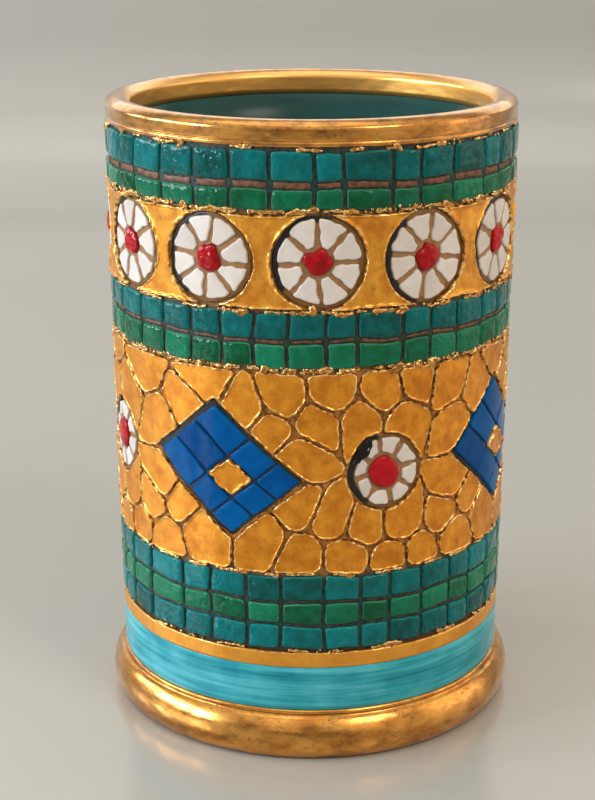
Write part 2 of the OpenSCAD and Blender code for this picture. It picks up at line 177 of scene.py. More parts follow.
@dataclass(frozen=True)
class GoldLustre(Finish):
    """Gold lustre, painted over the glaze and fired again: a thin film of real metal.

    It gives a warm satin shine that follows every brush mark and dent below it, browned in patches where the
    film is thin. A painted highlight in broken dashes lies along the burrs that the cutting tool raised, with
    painted shade in dashes at the very edge of each pad, and within a given radius the colour is lightened as
    painted light. The grain stands for brush marks and is drawn coarse enough to show.
    """

    bright: str
    deep: str
    worn: str
    roughness: Pair
    # burr: colour of a painted highlight along the burrs, laid in broken dashes.
    burr: str | None = None
    burr_width: float = 0.5
    burr_break: float = 1.1
    # cut: colour of painted shade in dashes at the very edge of a pad.
    cut: str = "#4a2c0c"
    metallic: float = 0.6
    sheen: float = 0.25
    mottle: float = 4.0
    tarnish: float = 1.8
    tarnish_share: float = 0.35
    tarnish_from: float = 0.5
    grain: float = 0.45
    grain_depth: float = 0.015
    dents: float = 2.4
    dent_depth: float = 0.03
    streak: float = 1.0
    flakes: float = 0.0
    matt_and_lit_within: float = 0.0
    # inside: lighter colour within the given radius, painted light on the inside of the lip.
    inside: str = "#f6bc62"
    inside_polish: float = 0.36
    flaked: str = "#2e1a0a"
    coat_roughness: float = 0.2
    burr_polish: float = 0.16

    def dress(self, tree: bpy.types.NodeTree, shader: bpy.types.Node) -> None:
        """Adds the nodes of the finish.

        Args:
            tree: The material's tree.
            shader: Its shader.
        """
        add = partial(add_node, tree)
        shader.inputs["Metallic"].default_value = self.metallic
        shader.inputs["Coat Weight"].default_value = self.sheen
        shader.inputs["Coat Roughness"].default_value = self.coat_roughness
        place = add("ShaderNodeTexCoord").outputs["Object"]
        drawn = add("ShaderNodeMapping", {"Vector": place, "Scale": (1.0, 1.0, self.streak)}).outputs[0]
        mottle = add(
            "ShaderNodeTexNoise",
            {"Vector": drawn, "Scale": per_mm(self.mottle), "Detail": 5.0, "Roughness": 0.62},
        ).outputs[0]
        patches = add("ShaderNodeMapRange", {0: mottle, 1: 0.36, 2: 0.64}).outputs[0]
        film = add(
            "ShaderNodeMix", {0: patches, 6: linear(self.deep), 7: linear(self.bright)}, data_type="RGBA"
        ).outputs[2]
        browned = add(
            "ShaderNodeTexNoise",
            {"Vector": drawn, "Scale": per_mm(self.tarnish), "Detail": 6.0, "Roughness": 0.7},
        ).outputs[0]
        share = add(
            "ShaderNodeMapRange",
            {0: browned, 1: self.tarnish_from, 2: self.tarnish_from + 0.2, 3: 0.0, 4: self.tarnish_share},
        ).outputs[0]
        colour = add(
            "ShaderNodeMix", {0: share, 6: film, 7: linear(self.worn)}, data_type="RGBA"
        ).outputs[2]
        polish = add(
            "ShaderNodeMapRange", {0: mottle, 1: 0.3, 2: 0.7, 3: self.roughness[1], 4: self.roughness[0]}
        ).outputs[0]
        # Painted highlight: the burr colour in broken dashes near the edge of a pad, with lower roughness.
        if self.burr:
            inset = add("ShaderNodeAttribute", attribute_name="inset").outputs["Fac"]
            edge = add(
                "ShaderNodeMapRange", {0: inset, 1: self.burr_width, 2: 0.4 * self.burr_width}
            ).outputs[0]
            breaks = add(
                "ShaderNodeTexNoise", {"Vector": place, "Scale": per_mm(self.burr_break), "Detail": 3.0}
            ).outputs[0]
            highlight_dashes = add("ShaderNodeMapRange", {0: breaks, 1: 0.44, 2: 0.58}).outputs[0]
            lit = add("ShaderNodeMath", {0: edge, 1: highlight_dashes}, operation="MULTIPLY").outputs[0]
            colour = add(
                "ShaderNodeMix", {0: lit, 6: colour, 7: linear(self.burr)}, data_type="RGBA"
            ).outputs[2]
            # Painted shade: the cut colour in dashes at the very edge of a pad, where the highlight breaks.
            brink = add("ShaderNodeMapRange", {0: inset, 1: 0.26, 2: 0.1}).outputs[0]
            gaps = add("ShaderNodeMapRange", {0: breaks, 1: 0.52, 2: 0.42, 3: 0.0, 4: 0.85}).outputs[0]
            painted_shade_dashes = add("ShaderNodeMath", {0: brink, 1: gaps}, operation="MULTIPLY").outputs[0]
            colour = add(
                "ShaderNodeMix", {0: painted_shade_dashes, 6: colour, 7: linear(self.cut)}, data_type="RGBA"
            ).outputs[2]
            polish = add(
                "ShaderNodeMix", {0: lit, 2: polish, 3: self.burr_polish}, data_type="FLOAT"
            ).outputs[0]
        if self.flakes:
            specks = add("ShaderNodeTexNoise", {"Vector": place, "Scale": per_mm(self.flakes)}).outputs[0]
            gone = add("ShaderNodeMapRange", {0: specks, 1: 0.69, 2: 0.73, 3: 0.0, 4: 0.85}).outputs[0]
            colour = add(
                "ShaderNodeMix", {0: gone, 6: colour, 7: linear(self.flaked)}, data_type="RGBA"
            ).outputs[2]
        # Within the given radius: rougher, and a lighter colour that is painted light.
        if self.matt_and_lit_within:
            flat = add(
                "ShaderNodeVectorMath", {0: place, 1: (1.0, 1.0, 0.0)}, operation="MULTIPLY"
            ).outputs[0]
            away = add("ShaderNodeVectorMath", {0: flat}, operation="LENGTH").outputs["Value"]
            within = add(
                "ShaderNodeMapRange",
                {0: away, 1: (self.matt_and_lit_within + 0.6) * MM, 2: (self.matt_and_lit_within - 0.6) * MM},
            ).outputs[0]
            polish = add(
                "ShaderNodeMix", {0: within, 2: polish, 3: self.inside_polish}, data_type="FLOAT"
            ).outputs[0]
            colour = add(
                "ShaderNodeMix", {0: within, 6: colour, 7: linear(self.inside)}, data_type="RGBA"
            ).outputs[2]
        tree.links.new(colour, shader.inputs["Base Color"])
        tree.links.new(polish, shader.inputs["Roughness"])
        dents = add(
            "ShaderNodeTexNoise", {"Vector": drawn, "Scale": per_mm(self.dents), "Detail": 1.0}
        ).outputs[0]
        wavy = add(
            "ShaderNodeBump", {"Height": dents, "Strength": 1.0, "Distance": self.dent_depth * MM}
        ).outputs[0]
        grain = add(
            "ShaderNodeTexNoise", {"Vector": place, "Scale": per_mm(self.grain), "Detail": 2.0}
        ).outputs[0]
        grainy = add(
            "ShaderNodeBump",
            {"Height": grain, "Strength": 1.0, "Distance": self.grain_depth * MM, "Normal": wavy},
        ).outputs[0]
        tree.links.new(grainy, shader.inputs["Normal"])


@dataclass(frozen=True)
class PadGlaze(Finish):
    """Glossy lead glaze on the pads: a coloured glass over the clay.

    It pools dark in the middle of a pad and thins to a pale line along the cut edge, no two pads have quite
    the same tone, and its surface mirrors the light in broken ripples.
    """

    pooled: str
    thin: str
    edge: str
    roughness: float = 0.05
    edge_width: float = 0.34
    clouds: float = 3.2
    ripple: float = 1.5
    ripple_depth: float = 0.075
    mirror: float = 0.22

    def dress(self, tree: bpy.types.NodeTree, shader: bpy.types.Node) -> None:
        """Adds the nodes of the finish.

        Args:
            tree: The material's tree.
            shader: Its shader.
        """
        add = partial(add_node, tree)
        shader.inputs["Roughness"].default_value = self.roughness
        shader.inputs["IOR"].default_value = GLASS_IOR
        shader.inputs["Specular IOR Level"].default_value = self.mirror
        place = add("ShaderNodeTexCoord").outputs["Object"]
        clouds = add(
            "ShaderNodeTexNoise",
            {"Vector": place, "Scale": per_mm(self.clouds), "Detail": 4.0, "Roughness": 0.6},
        ).outputs[0]
        tone = add("ShaderNodeAttribute", attribute_name="tone").outputs["Fac"]
        shade = add("ShaderNodeMath", {0: tone, 1: 0.55, 2: clouds}, operation="MULTIPLY_ADD").outputs[0]
        share = add("ShaderNodeMapRange", {0: shade, 1: 0.42, 2: 1.08}).outputs[0]
        glass = add(
            "ShaderNodeMix", {0: share, 6: linear(self.pooled), 7: linear(self.thin)}, data_type="RGBA"
        ).outputs[2]
        inset = add("ShaderNodeAttribute", attribute_name="inset").outputs["Fac"]
        ragged = add("ShaderNodeMath", {0: clouds, 1: 0.5, 2: inset}, operation="MULTIPLY_ADD").outputs[0]
        rim = add(
            "ShaderNodeMapRange", {0: ragged, 1: self.edge_width + 0.28, 2: 0.24, 3: 0.0, 4: 0.55}
        ).outputs[0]
        edged = add("ShaderNodeMix", {0: rim, 6: glass, 7: linear(self.edge)}, data_type="RGBA").outputs[2]
        tree.links.new(edged, shader.inputs["Base Color"])
        ripple = add(
            "ShaderNodeTexNoise", {"Vector": place, "Scale": per_mm(self.ripple), "Detail": 1.5}
        ).outputs[0]
        wavy = add(
            "ShaderNodeBump", {"Height": ripple, "Strength": 1.0, "Distance": self.ripple_depth * MM}
        ).outputs[0]
        tree.links.new(wavy, shader.inputs["Normal"])


@dataclass(frozen=True)
class BrushedGlaze(Finish):
    """Glaze laid on a turning pot with a wide brush: soft streaks run round it, under a glossy skin."""

    light: str
    middle: str
    dark: str
    roughness: float = 0.16
    streak_height: float = 0.9
    streak_length: float = 26.0
    cloud: float = 9.0
    spread: float = 0.4
    mirror: float = 0.22
    ridge: float = 0.02

    def dress(self, tree: bpy.types.NodeTree, shader: bpy.types.Node) -> None:
        """Adds the nodes of the finish.

        Args:
            tree: The material's tree.
            shader: Its shader.
        """
        add = partial(add_node, tree)
        shader.inputs["Roughness"].default_value = self.roughness
        shader.inputs["IOR"].default_value = GLASS_IOR
        shader.inputs["Specular IOR Level"].default_value = self.mirror
        place = add("ShaderNodeTexCoord").outputs["Object"]
        along, up = per_mm(self.streak_length), per_mm(self.streak_height)
        drawn = add("ShaderNodeMapping", {"Vector": place, "Scale": (along, along, up)}).outputs[0]
        streaks = add(
            "ShaderNodeTexNoise", {"Vector": drawn, "Scale": 1.0, "Detail": 4.0, "Roughness": 0.6}
        ).outputs[0]
        cloud = add(
            "ShaderNodeTexNoise", {"Vector": place, "Scale": per_mm(self.cloud), "Detail": 3.0}
        ).outputs[0]
        shade = add("ShaderNodeMath", {0: cloud, 1: 0.5, 2: streaks}, operation="MULTIPLY_ADD").outputs[0]
        share = add(
            "ShaderNodeMapRange", {0: shade, 1: 0.75 - self.spread, 2: 0.75 + self.spread}
        ).outputs[0]
        stops = [(0.0, linear(self.dark)), (0.45, linear(self.middle)), (1.0, linear(self.light))]
        colour = add("ShaderNodeValToRGB", {0: share}, stops=stops).outputs[0]
        tree.links.new(colour, shader.inputs["Base Color"])
        ridged = add(
            "ShaderNodeBump", {"Height": streaks, "Strength": 1.0, "Distance": self.ridge * MM}
        ).outputs[0]
        tree.links.new(ridged, shader.inputs["Normal"])


@dataclass(frozen=True)
class Earthenware(Finish):
    """Fired earthenware, bare where the tool cut through: dull, grainy and stained by what is beside it.

    `stains` are heights and colours, from the foot up. The grain is drawn coarser than real grit, to show.
    """

    stains: tuple[tuple[float, str], ...]
    speck: str
    share: float = 0.75
    top: float = 140.0
    grain: float = 0.5
    grain_depth: float = 0.06
    patch: float = 1.1
    roughness: float = 0.5

    def dress(self, tree: bpy.types.NodeTree, shader: bpy.types.Node) -> None:
        """Adds the nodes of the finish.

        Args:
            tree: The material's tree.
            shader: Its shader.
        """
        add = partial(add_node, tree)
        shader.inputs["Roughness"].default_value = self.roughness
        place = add("ShaderNodeTexCoord").outputs["Object"]
        height = add("ShaderNodeSeparateXYZ", {0: place}).outputs[2]
        level = add("ShaderNodeMapRange", {0: height, 1: 0.0, 2: self.top * MM}).outputs[0]
        stops = [(z / self.top, linear(code)) for z, code in self.stains]
        stain = add("ShaderNodeValToRGB", {0: level}, stops=stops).outputs[0]
        patches = add(
            "ShaderNodeTexNoise", {"Vector": place, "Scale": per_mm(self.patch), "Detail": 3.0}
        ).outputs[0]
        bare = add("ShaderNodeMapRange", {0: patches, 1: 0.46, 2: 0.6, 3: 0.0, 4: self.share}).outputs[0]
        colour = add(
            "ShaderNodeMix", {0: bare, 6: stain, 7: linear(self.speck)}, data_type="RGBA",
            blend_type="MULTIPLY",
        ).outputs[2]
        tree.links.new(colour, shader.inputs["Base Color"])
        grain = add(
            "ShaderNodeTexNoise", {"Vector": place, "Scale": per_mm(self.grain), "Detail": 3.0}
        ).outputs[0]
        rough = add(
            "ShaderNodeBump", {"Height": grain, "Strength": 1.0, "Distance": self.grain_depth * MM}
        ).outputs[0]
        tree.links.new(rough, shader.inputs["Normal"])


@dataclass(frozen=True)
class Slip(Finish):
    """Coloured slip left in the cut lines: dull and grainy. A black crescent along one side of its rim is
    painted shade.

    The grain is drawn coarser than that of real slip, to show.
    """

    inner: str
    rim: str
    # black: colour of the painted shade in the crescent.
    black: str
    rim_width: float = 1.2
    crescent: float = 2.5
    grain: float = 0.7
    grain_depth: float = 0.05
    patch: float = 2.5
    roughness: float = 0.38

    def dress(self, tree: bpy.types.NodeTree, shader: bpy.types.Node) -> None:
        """Adds the nodes of the finish.

        Args:
            tree: The material's tree.
            shader: Its shader.
        """
        add = partial(add_node, tree)
        shader.inputs["Roughness"].default_value = self.roughness
        place = add("ShaderNodeTexCoord").outputs["Object"]
        grain = add(
            "ShaderNodeTexNoise", {"Vector": place, "Scale": per_mm(self.grain), "Detail": 3.0}
        ).outputs[0]
        patches = add(
            "ShaderNodeTexNoise", {"Vector": place, "Scale": per_mm(self.patch), "Detail": 3.0}
        ).outputs[0]
        # Painted shade: black over the rim on the side that the pad's tilt points to, with ragged ends.
        side = add("ShaderNodeAttribute", attribute_name="tilt").outputs["Fac"]
        ragged = add("ShaderNodeMath", {0: patches, 1: 7.0, 2: side}, operation="MULTIPLY_ADD").outputs[0]
        black = add(
            "ShaderNodeMapRange", {0: ragged, 1: self.crescent + 3.5, 2: self.crescent + 4.3}
        ).outputs[0]
        rim = add(
            "ShaderNodeMix", {0: black, 6: linear(self.rim), 7: linear(self.black)}, data_type="RGBA"
        ).outputs[2]
        inset = add("ShaderNodeAttribute", attribute_name="inset").outputs["Fac"]
        inside = add(
            "ShaderNodeMapRange", {0: inset, 1: self.rim_width, 2: self.rim_width + 0.35}
        ).outputs[0]
        speckled = add("ShaderNodeMapRange", {0: grain, 1: 0.3, 2: 0.75, 3: 0.0, 4: 0.5}).outputs[0]
        tan = add(
            "ShaderNodeMix", {0: speckled, 6: linear(self.inner), 7: linear(self.rim)}, data_type="RGBA"
        ).outputs[2]
        colour = add("ShaderNodeMix", {0: inside, 6: rim, 7: tan}, data_type="RGBA").outputs[2]
        tree.links.new(colour, shader.inputs["Base Color"])
        rough = add(
            "ShaderNodeBump", {"Height": grain, "Strength": 1.0, "Distance": self.grain_depth * MM}
        ).outputs[0]
        tree.links.new(rough, shader.inputs["Normal"])


# The burr colours below are painted highlights along the cut edges.
SATIN_GOLD = GoldLustre(
    "satin gold lustre", "#f2a22a", "#ce7c10", "#92560e", (0.32, 0.46), burr="#fdd488", burr_width=0.6,
    sheen=0.12, grain_depth=0.024,
)
FRIEZE_GOLD = replace(
    SATIN_GOLD, name="scratched gold lustre", bright="#f6b03c", deep="#d0801a", roughness=(0.26, 0.42),
    tarnish=2.4, tarnish_share=0.45, dents=1.6, dent_depth=0.07, grain_depth=0.04,
)
LINE_GOLD = replace(
    SATIN_GOLD, name="smooth gold lustre", bright="#f2ac40", deep="#dc9228", roughness=(0.3, 0.4), mottle=8.0,
    tarnish_share=0.12,
)
RAW_GOLD = GoldLustre(
    "rough gold lustre", "#d89438", "#9c6018", "#46280a", (0.22, 0.36), burr="#ffdc98", burr_width=0.45,
    burr_break=0.7, mottle=1.6, tarnish=0.9, tarnish_share=0.7,
)
# Inside the lip the colour is lightened, as painted light.
LIP_GOLD = GoldLustre(
    "polished gold lustre", "#eaa846", "#d08a2e", "#7a4412", (0.12, 0.26), metallic=0.85, sheen=0.8,
    mottle=7.0, tarnish=5.0, tarnish_share=0.75, tarnish_from=0.44, dents=4.5, dent_depth=0.09, streak=2.4,
    flakes=0.7, matt_and_lit_within=40.6,
)
FOOT_GOLD = replace(
    LIP_GOLD, name="burnished gold lustre", bright="#f6b254", deep="#c8822c", worn="#5a3410",
    roughness=(0.16, 0.3), metallic=0.97, sheen=0.5, tarnish=6.0, tarnish_share=0.65, tarnish_from=0.48,
    flakes=0.9, matt_and_lit_within=0.0,
)
TEAL_GLAZE = PadGlaze(
    "teal lead glaze", "#034640", "#057a7e", "#36a4a2", edge_width=0.2, ripple=1.6, ripple_depth=0.42,
    mirror=0.18,
)
GREEN_GLAZE = replace(
    TEAL_GLAZE, name="copper green lead glaze", pooled="#064a2a", thin="#127a58", edge="#5aae8c"
)
COBALT_GLAZE = PadGlaze(
    "cobalt blue lead glaze", "#003c78", "#005a9c", "#0c70b0", roughness=0.1, edge_width=0.12,
    ripple_depth=0.04, mirror=0.07,
)
WHITE_GLAZE = PadGlaze(
    "white tin glaze", "#cec5bc", "#e4ded7", "#b89c80", roughness=0.14, edge_width=0.12, ripple_depth=0.02
)
RED_GLAZE = PadGlaze(
    "red enamel glaze", "#8c060c", "#c60e1c", "#6a0c10", roughness=0.1, edge_width=0.3, clouds=2.2,
    ripple=1.2, ripple_depth=0.06,
)
# Black pads that are painted shade at one side of some flower beds.
PAINTED_SHADE_GLAZE = PadGlaze(
    "black glaze for painted shade", "#08090a", "#1a1814", "#5a4a34", roughness=0.12, edge_width=0.1, clouds=1.5,
    ripple=1.0, ripple_depth=0.05,
)
TURQUOISE_GLAZE = BrushedGlaze(
    "brushed turquoise glaze", "#66c8d4", "#2e9eac", "#087282", roughness=0.18, streak_height=1.6,
    streak_length=34.0, spread=0.29,
)
LINING_GLAZE = BrushedGlaze(
    "dark teal lining glaze", "#1d5654", "#144440", "#0c3230", roughness=0.3, streak_height=3.0,
    streak_length=40.0, cloud=14.0,
)
CLAY = Earthenware(
    "fired earthenware",
    (
        (0.0, "#9a6c4e"), (11.0, "#8a5c40"), (25.0, "#3a2a1c"), (26.5, "#0e3f38"), (41.5, "#0e3f38"),
        (43.5, "#b67a2a"), (86.0, "#b67a2a"), (89.0, "#22352a"), (98.5, "#22352a"), (100.5, "#8a5c26"),
        (119.0, "#8a5c26"), (121.5, "#143a34"), (132.0, "#143a34"), (134.0, "#7a5030"),
    ),
    "#6e5c48", share=0.8,
)
BARE_CLAY = Earthenware(
    "bare pink earthenware", ((0.0, "#2c3a32"), (60.0, "#6a4a2c"), (140.0, "#7e5032")), "#6e5c48", share=0.6
)
# Their black colour is painted shade, laid on one side of the rim.
FLOWER_SLIP = Slip("tan slip", "#a67c50", "#7a5426", "#0c0e12")
LOZENGE_SLIP = Slip("dark slip with painted shade", "#082250", "#2e2a20", "#06080c", crescent=-3.0)


# Geometry Nodes


class Tool:
    """A Geometry Nodes tree with named inputs, used as a maker's tool on one piece after another."""

    def __init__(self, name: str, inputs: Sequence[tuple[str, str, Any]]) -> None:
        """Starts the tree.

        Args:
            name: Name of the tree.
            inputs: Name, kind of socket and default of each input after the geometry.
        """
        self.tree = bpy.data.node_groups.new(name, "GeometryNodeTree")
        face = self.tree.interface
        face.new_socket("Geometry", in_out="INPUT", socket_type="NodeSocketGeometry")
        face.new_socket("Geometry", in_out="OUTPUT", socket_type="NodeSocketGeometry")
        self.sockets: dict[str, str] = {}
        for label, kind, default in inputs:
            socket = face.new_socket(label, in_out="INPUT", socket_type=kind)
            if default is not None:
                socket.default_value = default
            self.sockets[label] = socket.identifier
        self.start = add_node(self.tree, "NodeGroupInput").outputs

    def lay_nodes(self) -> None:
        """Builds the nodes. Each tool has its own."""
        raise NotImplementedError

    def spoke(self, turn: Socket) -> Socket:
        """Adds the nodes for a spoke of the pot.

        Args:
            turn: The azimuth from the front, in radians.

        Returns:
            The level unit vector that points out there.
        """
        add = partial(add_node, self.tree)
        sine = add("ShaderNodeMath", {0: turn}, operation="SINE").outputs[0]
        cosine = add("ShaderNodeMath", {0: turn}, operation="COSINE").outputs[0]
        front = add("ShaderNodeMath", {0: cosine, 1: -1.0}, operation="MULTIPLY").outputs[0]
        return add("ShaderNodeCombineXYZ", {0: sine, 1: front}).outputs[0]

    def stood(self, spoke: Socket, reach: Socket, height: Socket) -> Socket:
        """Adds the nodes for a place on the pot.

        Args:
            spoke: The unit vector out from the axis.
            reach: The way out along it.
            height: The height over the floor.

        Returns:
            The place, in millimetres.
        """
        add = partial(add_node, self.tree)
        out = add("ShaderNodeVectorMath", {0: spoke, "Scale": reach}, operation="SCALE").outputs[0]
        up = add("ShaderNodeCombineXYZ", {2: height}).outputs[0]
        return add("ShaderNodeVectorMath", {0: out, 1: up}, operation="ADD").outputs[0]

    def moved(self, geometry: Socket, place: Socket) -> Socket:
        """Adds the nodes that put points in their place.

        Args:
            geometry: The geometry with the points.
            place: Where they go, in millimetres.

        Returns:
            The geometry, in metres.
        """
        add = partial(add_node, self.tree)
        metres = add("ShaderNodeVectorMath", {0: place, "Scale": MM}, operation="SCALE").outputs[0]
        return add("GeometryNodeSetPosition", {0: geometry, "Position": metres}).outputs[0]

    def close(self, geometry: Socket) -> None:
        """Ends the tree in plain, smooth, dressed geometry.

        Args:
            geometry: The geometry that the tree made.
        """
        add = partial(add_node, self.tree)
        whole = add("GeometryNodeRealizeInstances", {0: geometry}).outputs[0]
        smooth = add("GeometryNodeSetShadeSmooth", {0: whole, "Shade Smooth": True}).outputs[0]
        finish = {0: smooth, "Material": self.start["Material"]}
        dressed = add("GeometryNodeSetMaterial", finish).outputs[0]
        add("NodeGroupOutput", {0: dressed})

    def use(self, name: str, blank: bpy.types.Mesh, values: dict[str, Any]) -> bpy.types.Object:
        """Runs the tree on a blank and keeps the result as a plain mesh.

        Args:
            name: Name of the piece.
            blank: The mesh that the tree starts from.
            values: Values of the inputs, by name.

        Returns:
            The piece, at the origin.
        """
        piece = bpy.data.objects.new(name, blank)
        bpy.context.scene.collection.objects.link(piece)
        modifier = piece.modifiers.new(self.tree.name, "NODES")
        modifier.node_group = self.tree
        for label, value in values.items():
            modifier[self.sockets[label]] = value
        graph = bpy.context.evaluated_depsgraph_get()
        worked = piece.evaluated_get(graph)
        made = bpy.data.meshes.new_from_object(worked, preserve_all_data_layers=True, depsgraph=graph)
        piece.modifiers.clear()
        piece.data = made
        made.name = name
        bpy.data.meshes.remove(blank)
        return piece


FLOAT, INT, MATERIAL = "NodeSocketFloat", "NodeSocketInt", "NodeSocketMaterial"


class PadPress(Tool):
    """Presses flat pads on to the tapering wall and gives them their rounded edges, burrs and ripples."""

    def __init__(self) -> None:
        """Builds the tree."""
        super().__init__(
            "pad press",
            [
                ("Wall radius", FLOAT, 43.0),
                ("Wall flare", FLOAT, 0.01),
                ("Unrolled radius", FLOAT, 44.5),
                ("Thickness", FLOAT, 0.7),
                ("Edge start", FLOAT, 0.4),
                ("Edge round", FLOAT, 0.8),
                ("Burr height", FLOAT, 0.0),
                ("Burr place", FLOAT, 0.25),
                ("Burr width", FLOAT, 0.2),
                ("Burr size", FLOAT, 2.0),
                ("Ripple height", FLOAT, 0.04),
                ("Ripple size", FLOAT, 3.0),
                ("Lean", FLOAT, 0.0),
                ("Sink", FLOAT, 0.15),
                ("Seed", FLOAT, 0.0),
                ("Material", MATERIAL, None),
            ],
        )
        self.lay_nodes()

    def lay_nodes(self) -> None:
        """Builds the nodes: a height over the clay for each point, wrapped on to the wall."""
        add, given = partial(add_node, self.tree), self.start
        spot = add("GeometryNodeInputPosition").outputs[0]
        flat = add("ShaderNodeSeparateXYZ", {0: spot}).outputs
        inset = add("GeometryNodeInputNamedAttribute", {"Name": "inset"}, data_type="FLOAT").outputs[0]
        top = add("GeometryNodeInputNamedAttribute", {"Name": "top"}, data_type="FLOAT").outputs[0]
        tilt = add("GeometryNodeInputNamedAttribute", {"Name": "tilt"}, data_type="FLOAT").outputs[0]
        # A quarter round from the cut edge to the full thickness.
        way = add(
            "ShaderNodeMath", {0: inset, 1: given["Edge round"]}, operation="DIVIDE", use_clamp=True
        ).outputs[0]
        left = add("ShaderNodeMath", {0: 1.0, 1: way}, operation="SUBTRACT").outputs[0]
        fall = add("ShaderNodeMath", {0: left, 1: 2.0}, operation="POWER").outputs[0]
        rest = add("ShaderNodeMath", {0: 1.0, 1: fall}, operation="SUBTRACT").outputs[0]
        round_off = add("ShaderNodeMath", {0: rest}, operation="SQRT").outputs[0]
        share = add("ShaderNodeMapRange", {0: round_off, 3: given["Edge start"], 4: 1.0}).outputs[0]
        body = add("ShaderNodeMath", {0: share, 1: given["Thickness"]}, operation="MULTIPLY").outputs[0]
        # The burr that the tool raised beside its cut, in broken lengths.
        off = add("ShaderNodeMath", {0: inset, 1: given["Burr place"]}, operation="SUBTRACT").outputs[0]
        wide = add("ShaderNodeMath", {0: off, 1: given["Burr width"]}, operation="DIVIDE").outputs[0]
        square = add("ShaderNodeMath", {0: wide, 1: wide}, operation="MULTIPLY").outputs[0]
        minus = add("ShaderNodeMath", {0: square, 1: -1.0}, operation="MULTIPLY").outputs[0]
        bell = add("ShaderNodeMath", {0: minus}, operation="EXPONENT").outputs[0]
        often = add("ShaderNodeMath", {0: 1.0, 1: given["Burr size"]}, operation="DIVIDE").outputs[0]
        breaks = add(
            "ShaderNodeTexNoise", {"Vector": spot, "W": given["Seed"], "Scale": often, "Detail": 2.0},
            noise_dimensions="4D",
        ).outputs[0]
        runs = add("ShaderNodeMapRange", {0: breaks, 1: 0.38, 2: 0.64, 3: 0.12, 4: 1.2}).outputs[0]
        tall = add("ShaderNodeMath", {0: runs, 1: given["Burr height"]}, operation="MULTIPLY").outputs[0]
        burred = add("ShaderNodeMath", {0: bell, 1: tall, 2: body}, operation="MULTIPLY_ADD").outputs[0]
        # Ripples of the molten glaze, and the lean of each pad.
        calm = add("ShaderNodeMath", {0: 1.0, 1: given["Ripple size"]}, operation="DIVIDE").outputs[0]
        swell = add(
            "ShaderNodeTexNoise", {"Vector": spot, "W": given["Seed"], "Scale": calm, "Detail": 1.0},
            noise_dimensions="4D",
        ).outputs[0]
        wave = add("ShaderNodeMapRange", {0: swell, 1: 0.2, 2: 0.8, 3: -1.0, 4: 1.0}).outputs[0]
        kept = add("ShaderNodeMath", {0: wave, 1: way}, operation="MULTIPLY").outputs[0]
        rippled = add(
            "ShaderNodeMath", {0: kept, 1: given["Ripple height"], 2: burred}, operation="MULTIPLY_ADD"
        ).outputs[0]
        leant = add(
            "ShaderNodeMath", {0: tilt, 1: given["Lean"], 2: rippled}, operation="MULTIPLY_ADD"
        ).outputs[0]
        under = add("ShaderNodeMath", {0: given["Sink"], 1: -1.0}, operation="MULTIPLY").outputs[0]
        height = add("ShaderNodeMix", {0: top, 2: under, 3: leant}, data_type="FLOAT").outputs[0]
        # Wrapped on to the wall.
        wall = add(
            "ShaderNodeMath", {0: flat[1], 1: given["Wall flare"], 2: given["Wall radius"]},
            operation="MULTIPLY_ADD",
        ).outputs[0]
        reach = add("ShaderNodeMath", {0: wall, 1: height}, operation="ADD").outputs[0]
        turn = add(
            "ShaderNodeMath", {0: flat[0], 1: given["Unrolled radius"]}, operation="DIVIDE"
        ).outputs[0]
        pressed = self.moved(given["Geometry"], self.stood(self.spoke(turn), reach, flat[1]))
        self.close(pressed)


class Wheel(Tool):
    """Throws a turned piece: bends an unrolled strip into a ring and lets it waver as thrown clay does."""

    sway_r: float = 44.0

    def __init__(self) -> None:
        """Builds the tree."""
        super().__init__(
            "potter's wheel",
            [
                ("Waver", FLOAT, 0.1),
                ("Waver size", FLOAT, 20.0),
                ("Sway", FLOAT, 0.0),
                ("Sway size", FLOAT, 8.0),
                ("Seed", FLOAT, 0.0),
                ("Material", MATERIAL, None),
            ],
        )
        self.lay_nodes()

    def lay_nodes(self) -> None:
        """Builds the nodes. A point of the strip holds its azimuth in radians, its radius and its height."""
        add, given = partial(add_node, self.tree), self.start
        spot = add("GeometryNodeInputPosition").outputs[0]
        strip = add("ShaderNodeSeparateXYZ", {0: spot}).outputs
        free = add("GeometryNodeInputNamedAttribute", {"Name": "free"}, data_type="FLOAT").outputs[0]
        spoke = self.spoke(strip[0])
        plain = self.stood(spoke, strip[1], strip[2])
        slow = add("ShaderNodeMath", {0: 1.0, 1: given["Waver size"]}, operation="DIVIDE").outputs[0]
        swing = add(
            "ShaderNodeTexNoise", {"Vector": plain, "W": given["Seed"], "Scale": slow, "Detail": 1.0},
            noise_dimensions="4D",
        ).outputs[0]
        waver = add("ShaderNodeMapRange", {0: swing, 1: 0.2, 2: 0.8, 3: -1.0, 4: 1.0}).outputs[0]
        shift = add("ShaderNodeMath", {0: waver, 1: given["Waver"]}, operation="MULTIPLY").outputs[0]
        reach = add("ShaderNodeMath", {0: strip[1], 1: shift}, operation="ADD").outputs[0]
        level = add("ShaderNodeVectorMath", {0: spoke, "Scale": self.sway_r}, operation="SCALE").outputs[0]
        quick = add("ShaderNodeMath", {0: 1.0, 1: given["Sway size"]}, operation="DIVIDE").outputs[0]
        drift = add(
            "ShaderNodeTexNoise", {"Vector": level, "W": given["Seed"], "Scale": quick, "Detail": 3.0},
            noise_dimensions="4D",
        ).outputs[0]
        sway = add("ShaderNodeMapRange", {0: drift, 1: 0.2, 2: 0.8, 3: -1.0, 4: 1.0}).outputs[0]
        loose = add("ShaderNodeMath", {0: sway, 1: free}, operation="MULTIPLY").outputs[0]
        rise = add(
            "ShaderNodeMath", {0: loose, 1: given["Sway"], 2: strip[2]}, operation="MULTIPLY_ADD"
        ).outputs[0]
        bent = self.moved(given["Geometry"], self.stood(spoke, reach, rise))
        joined = add("GeometryNodeMergeByDistance", {0: bent, "Distance": 1e-6}).outputs[0]
        self.close(joined)


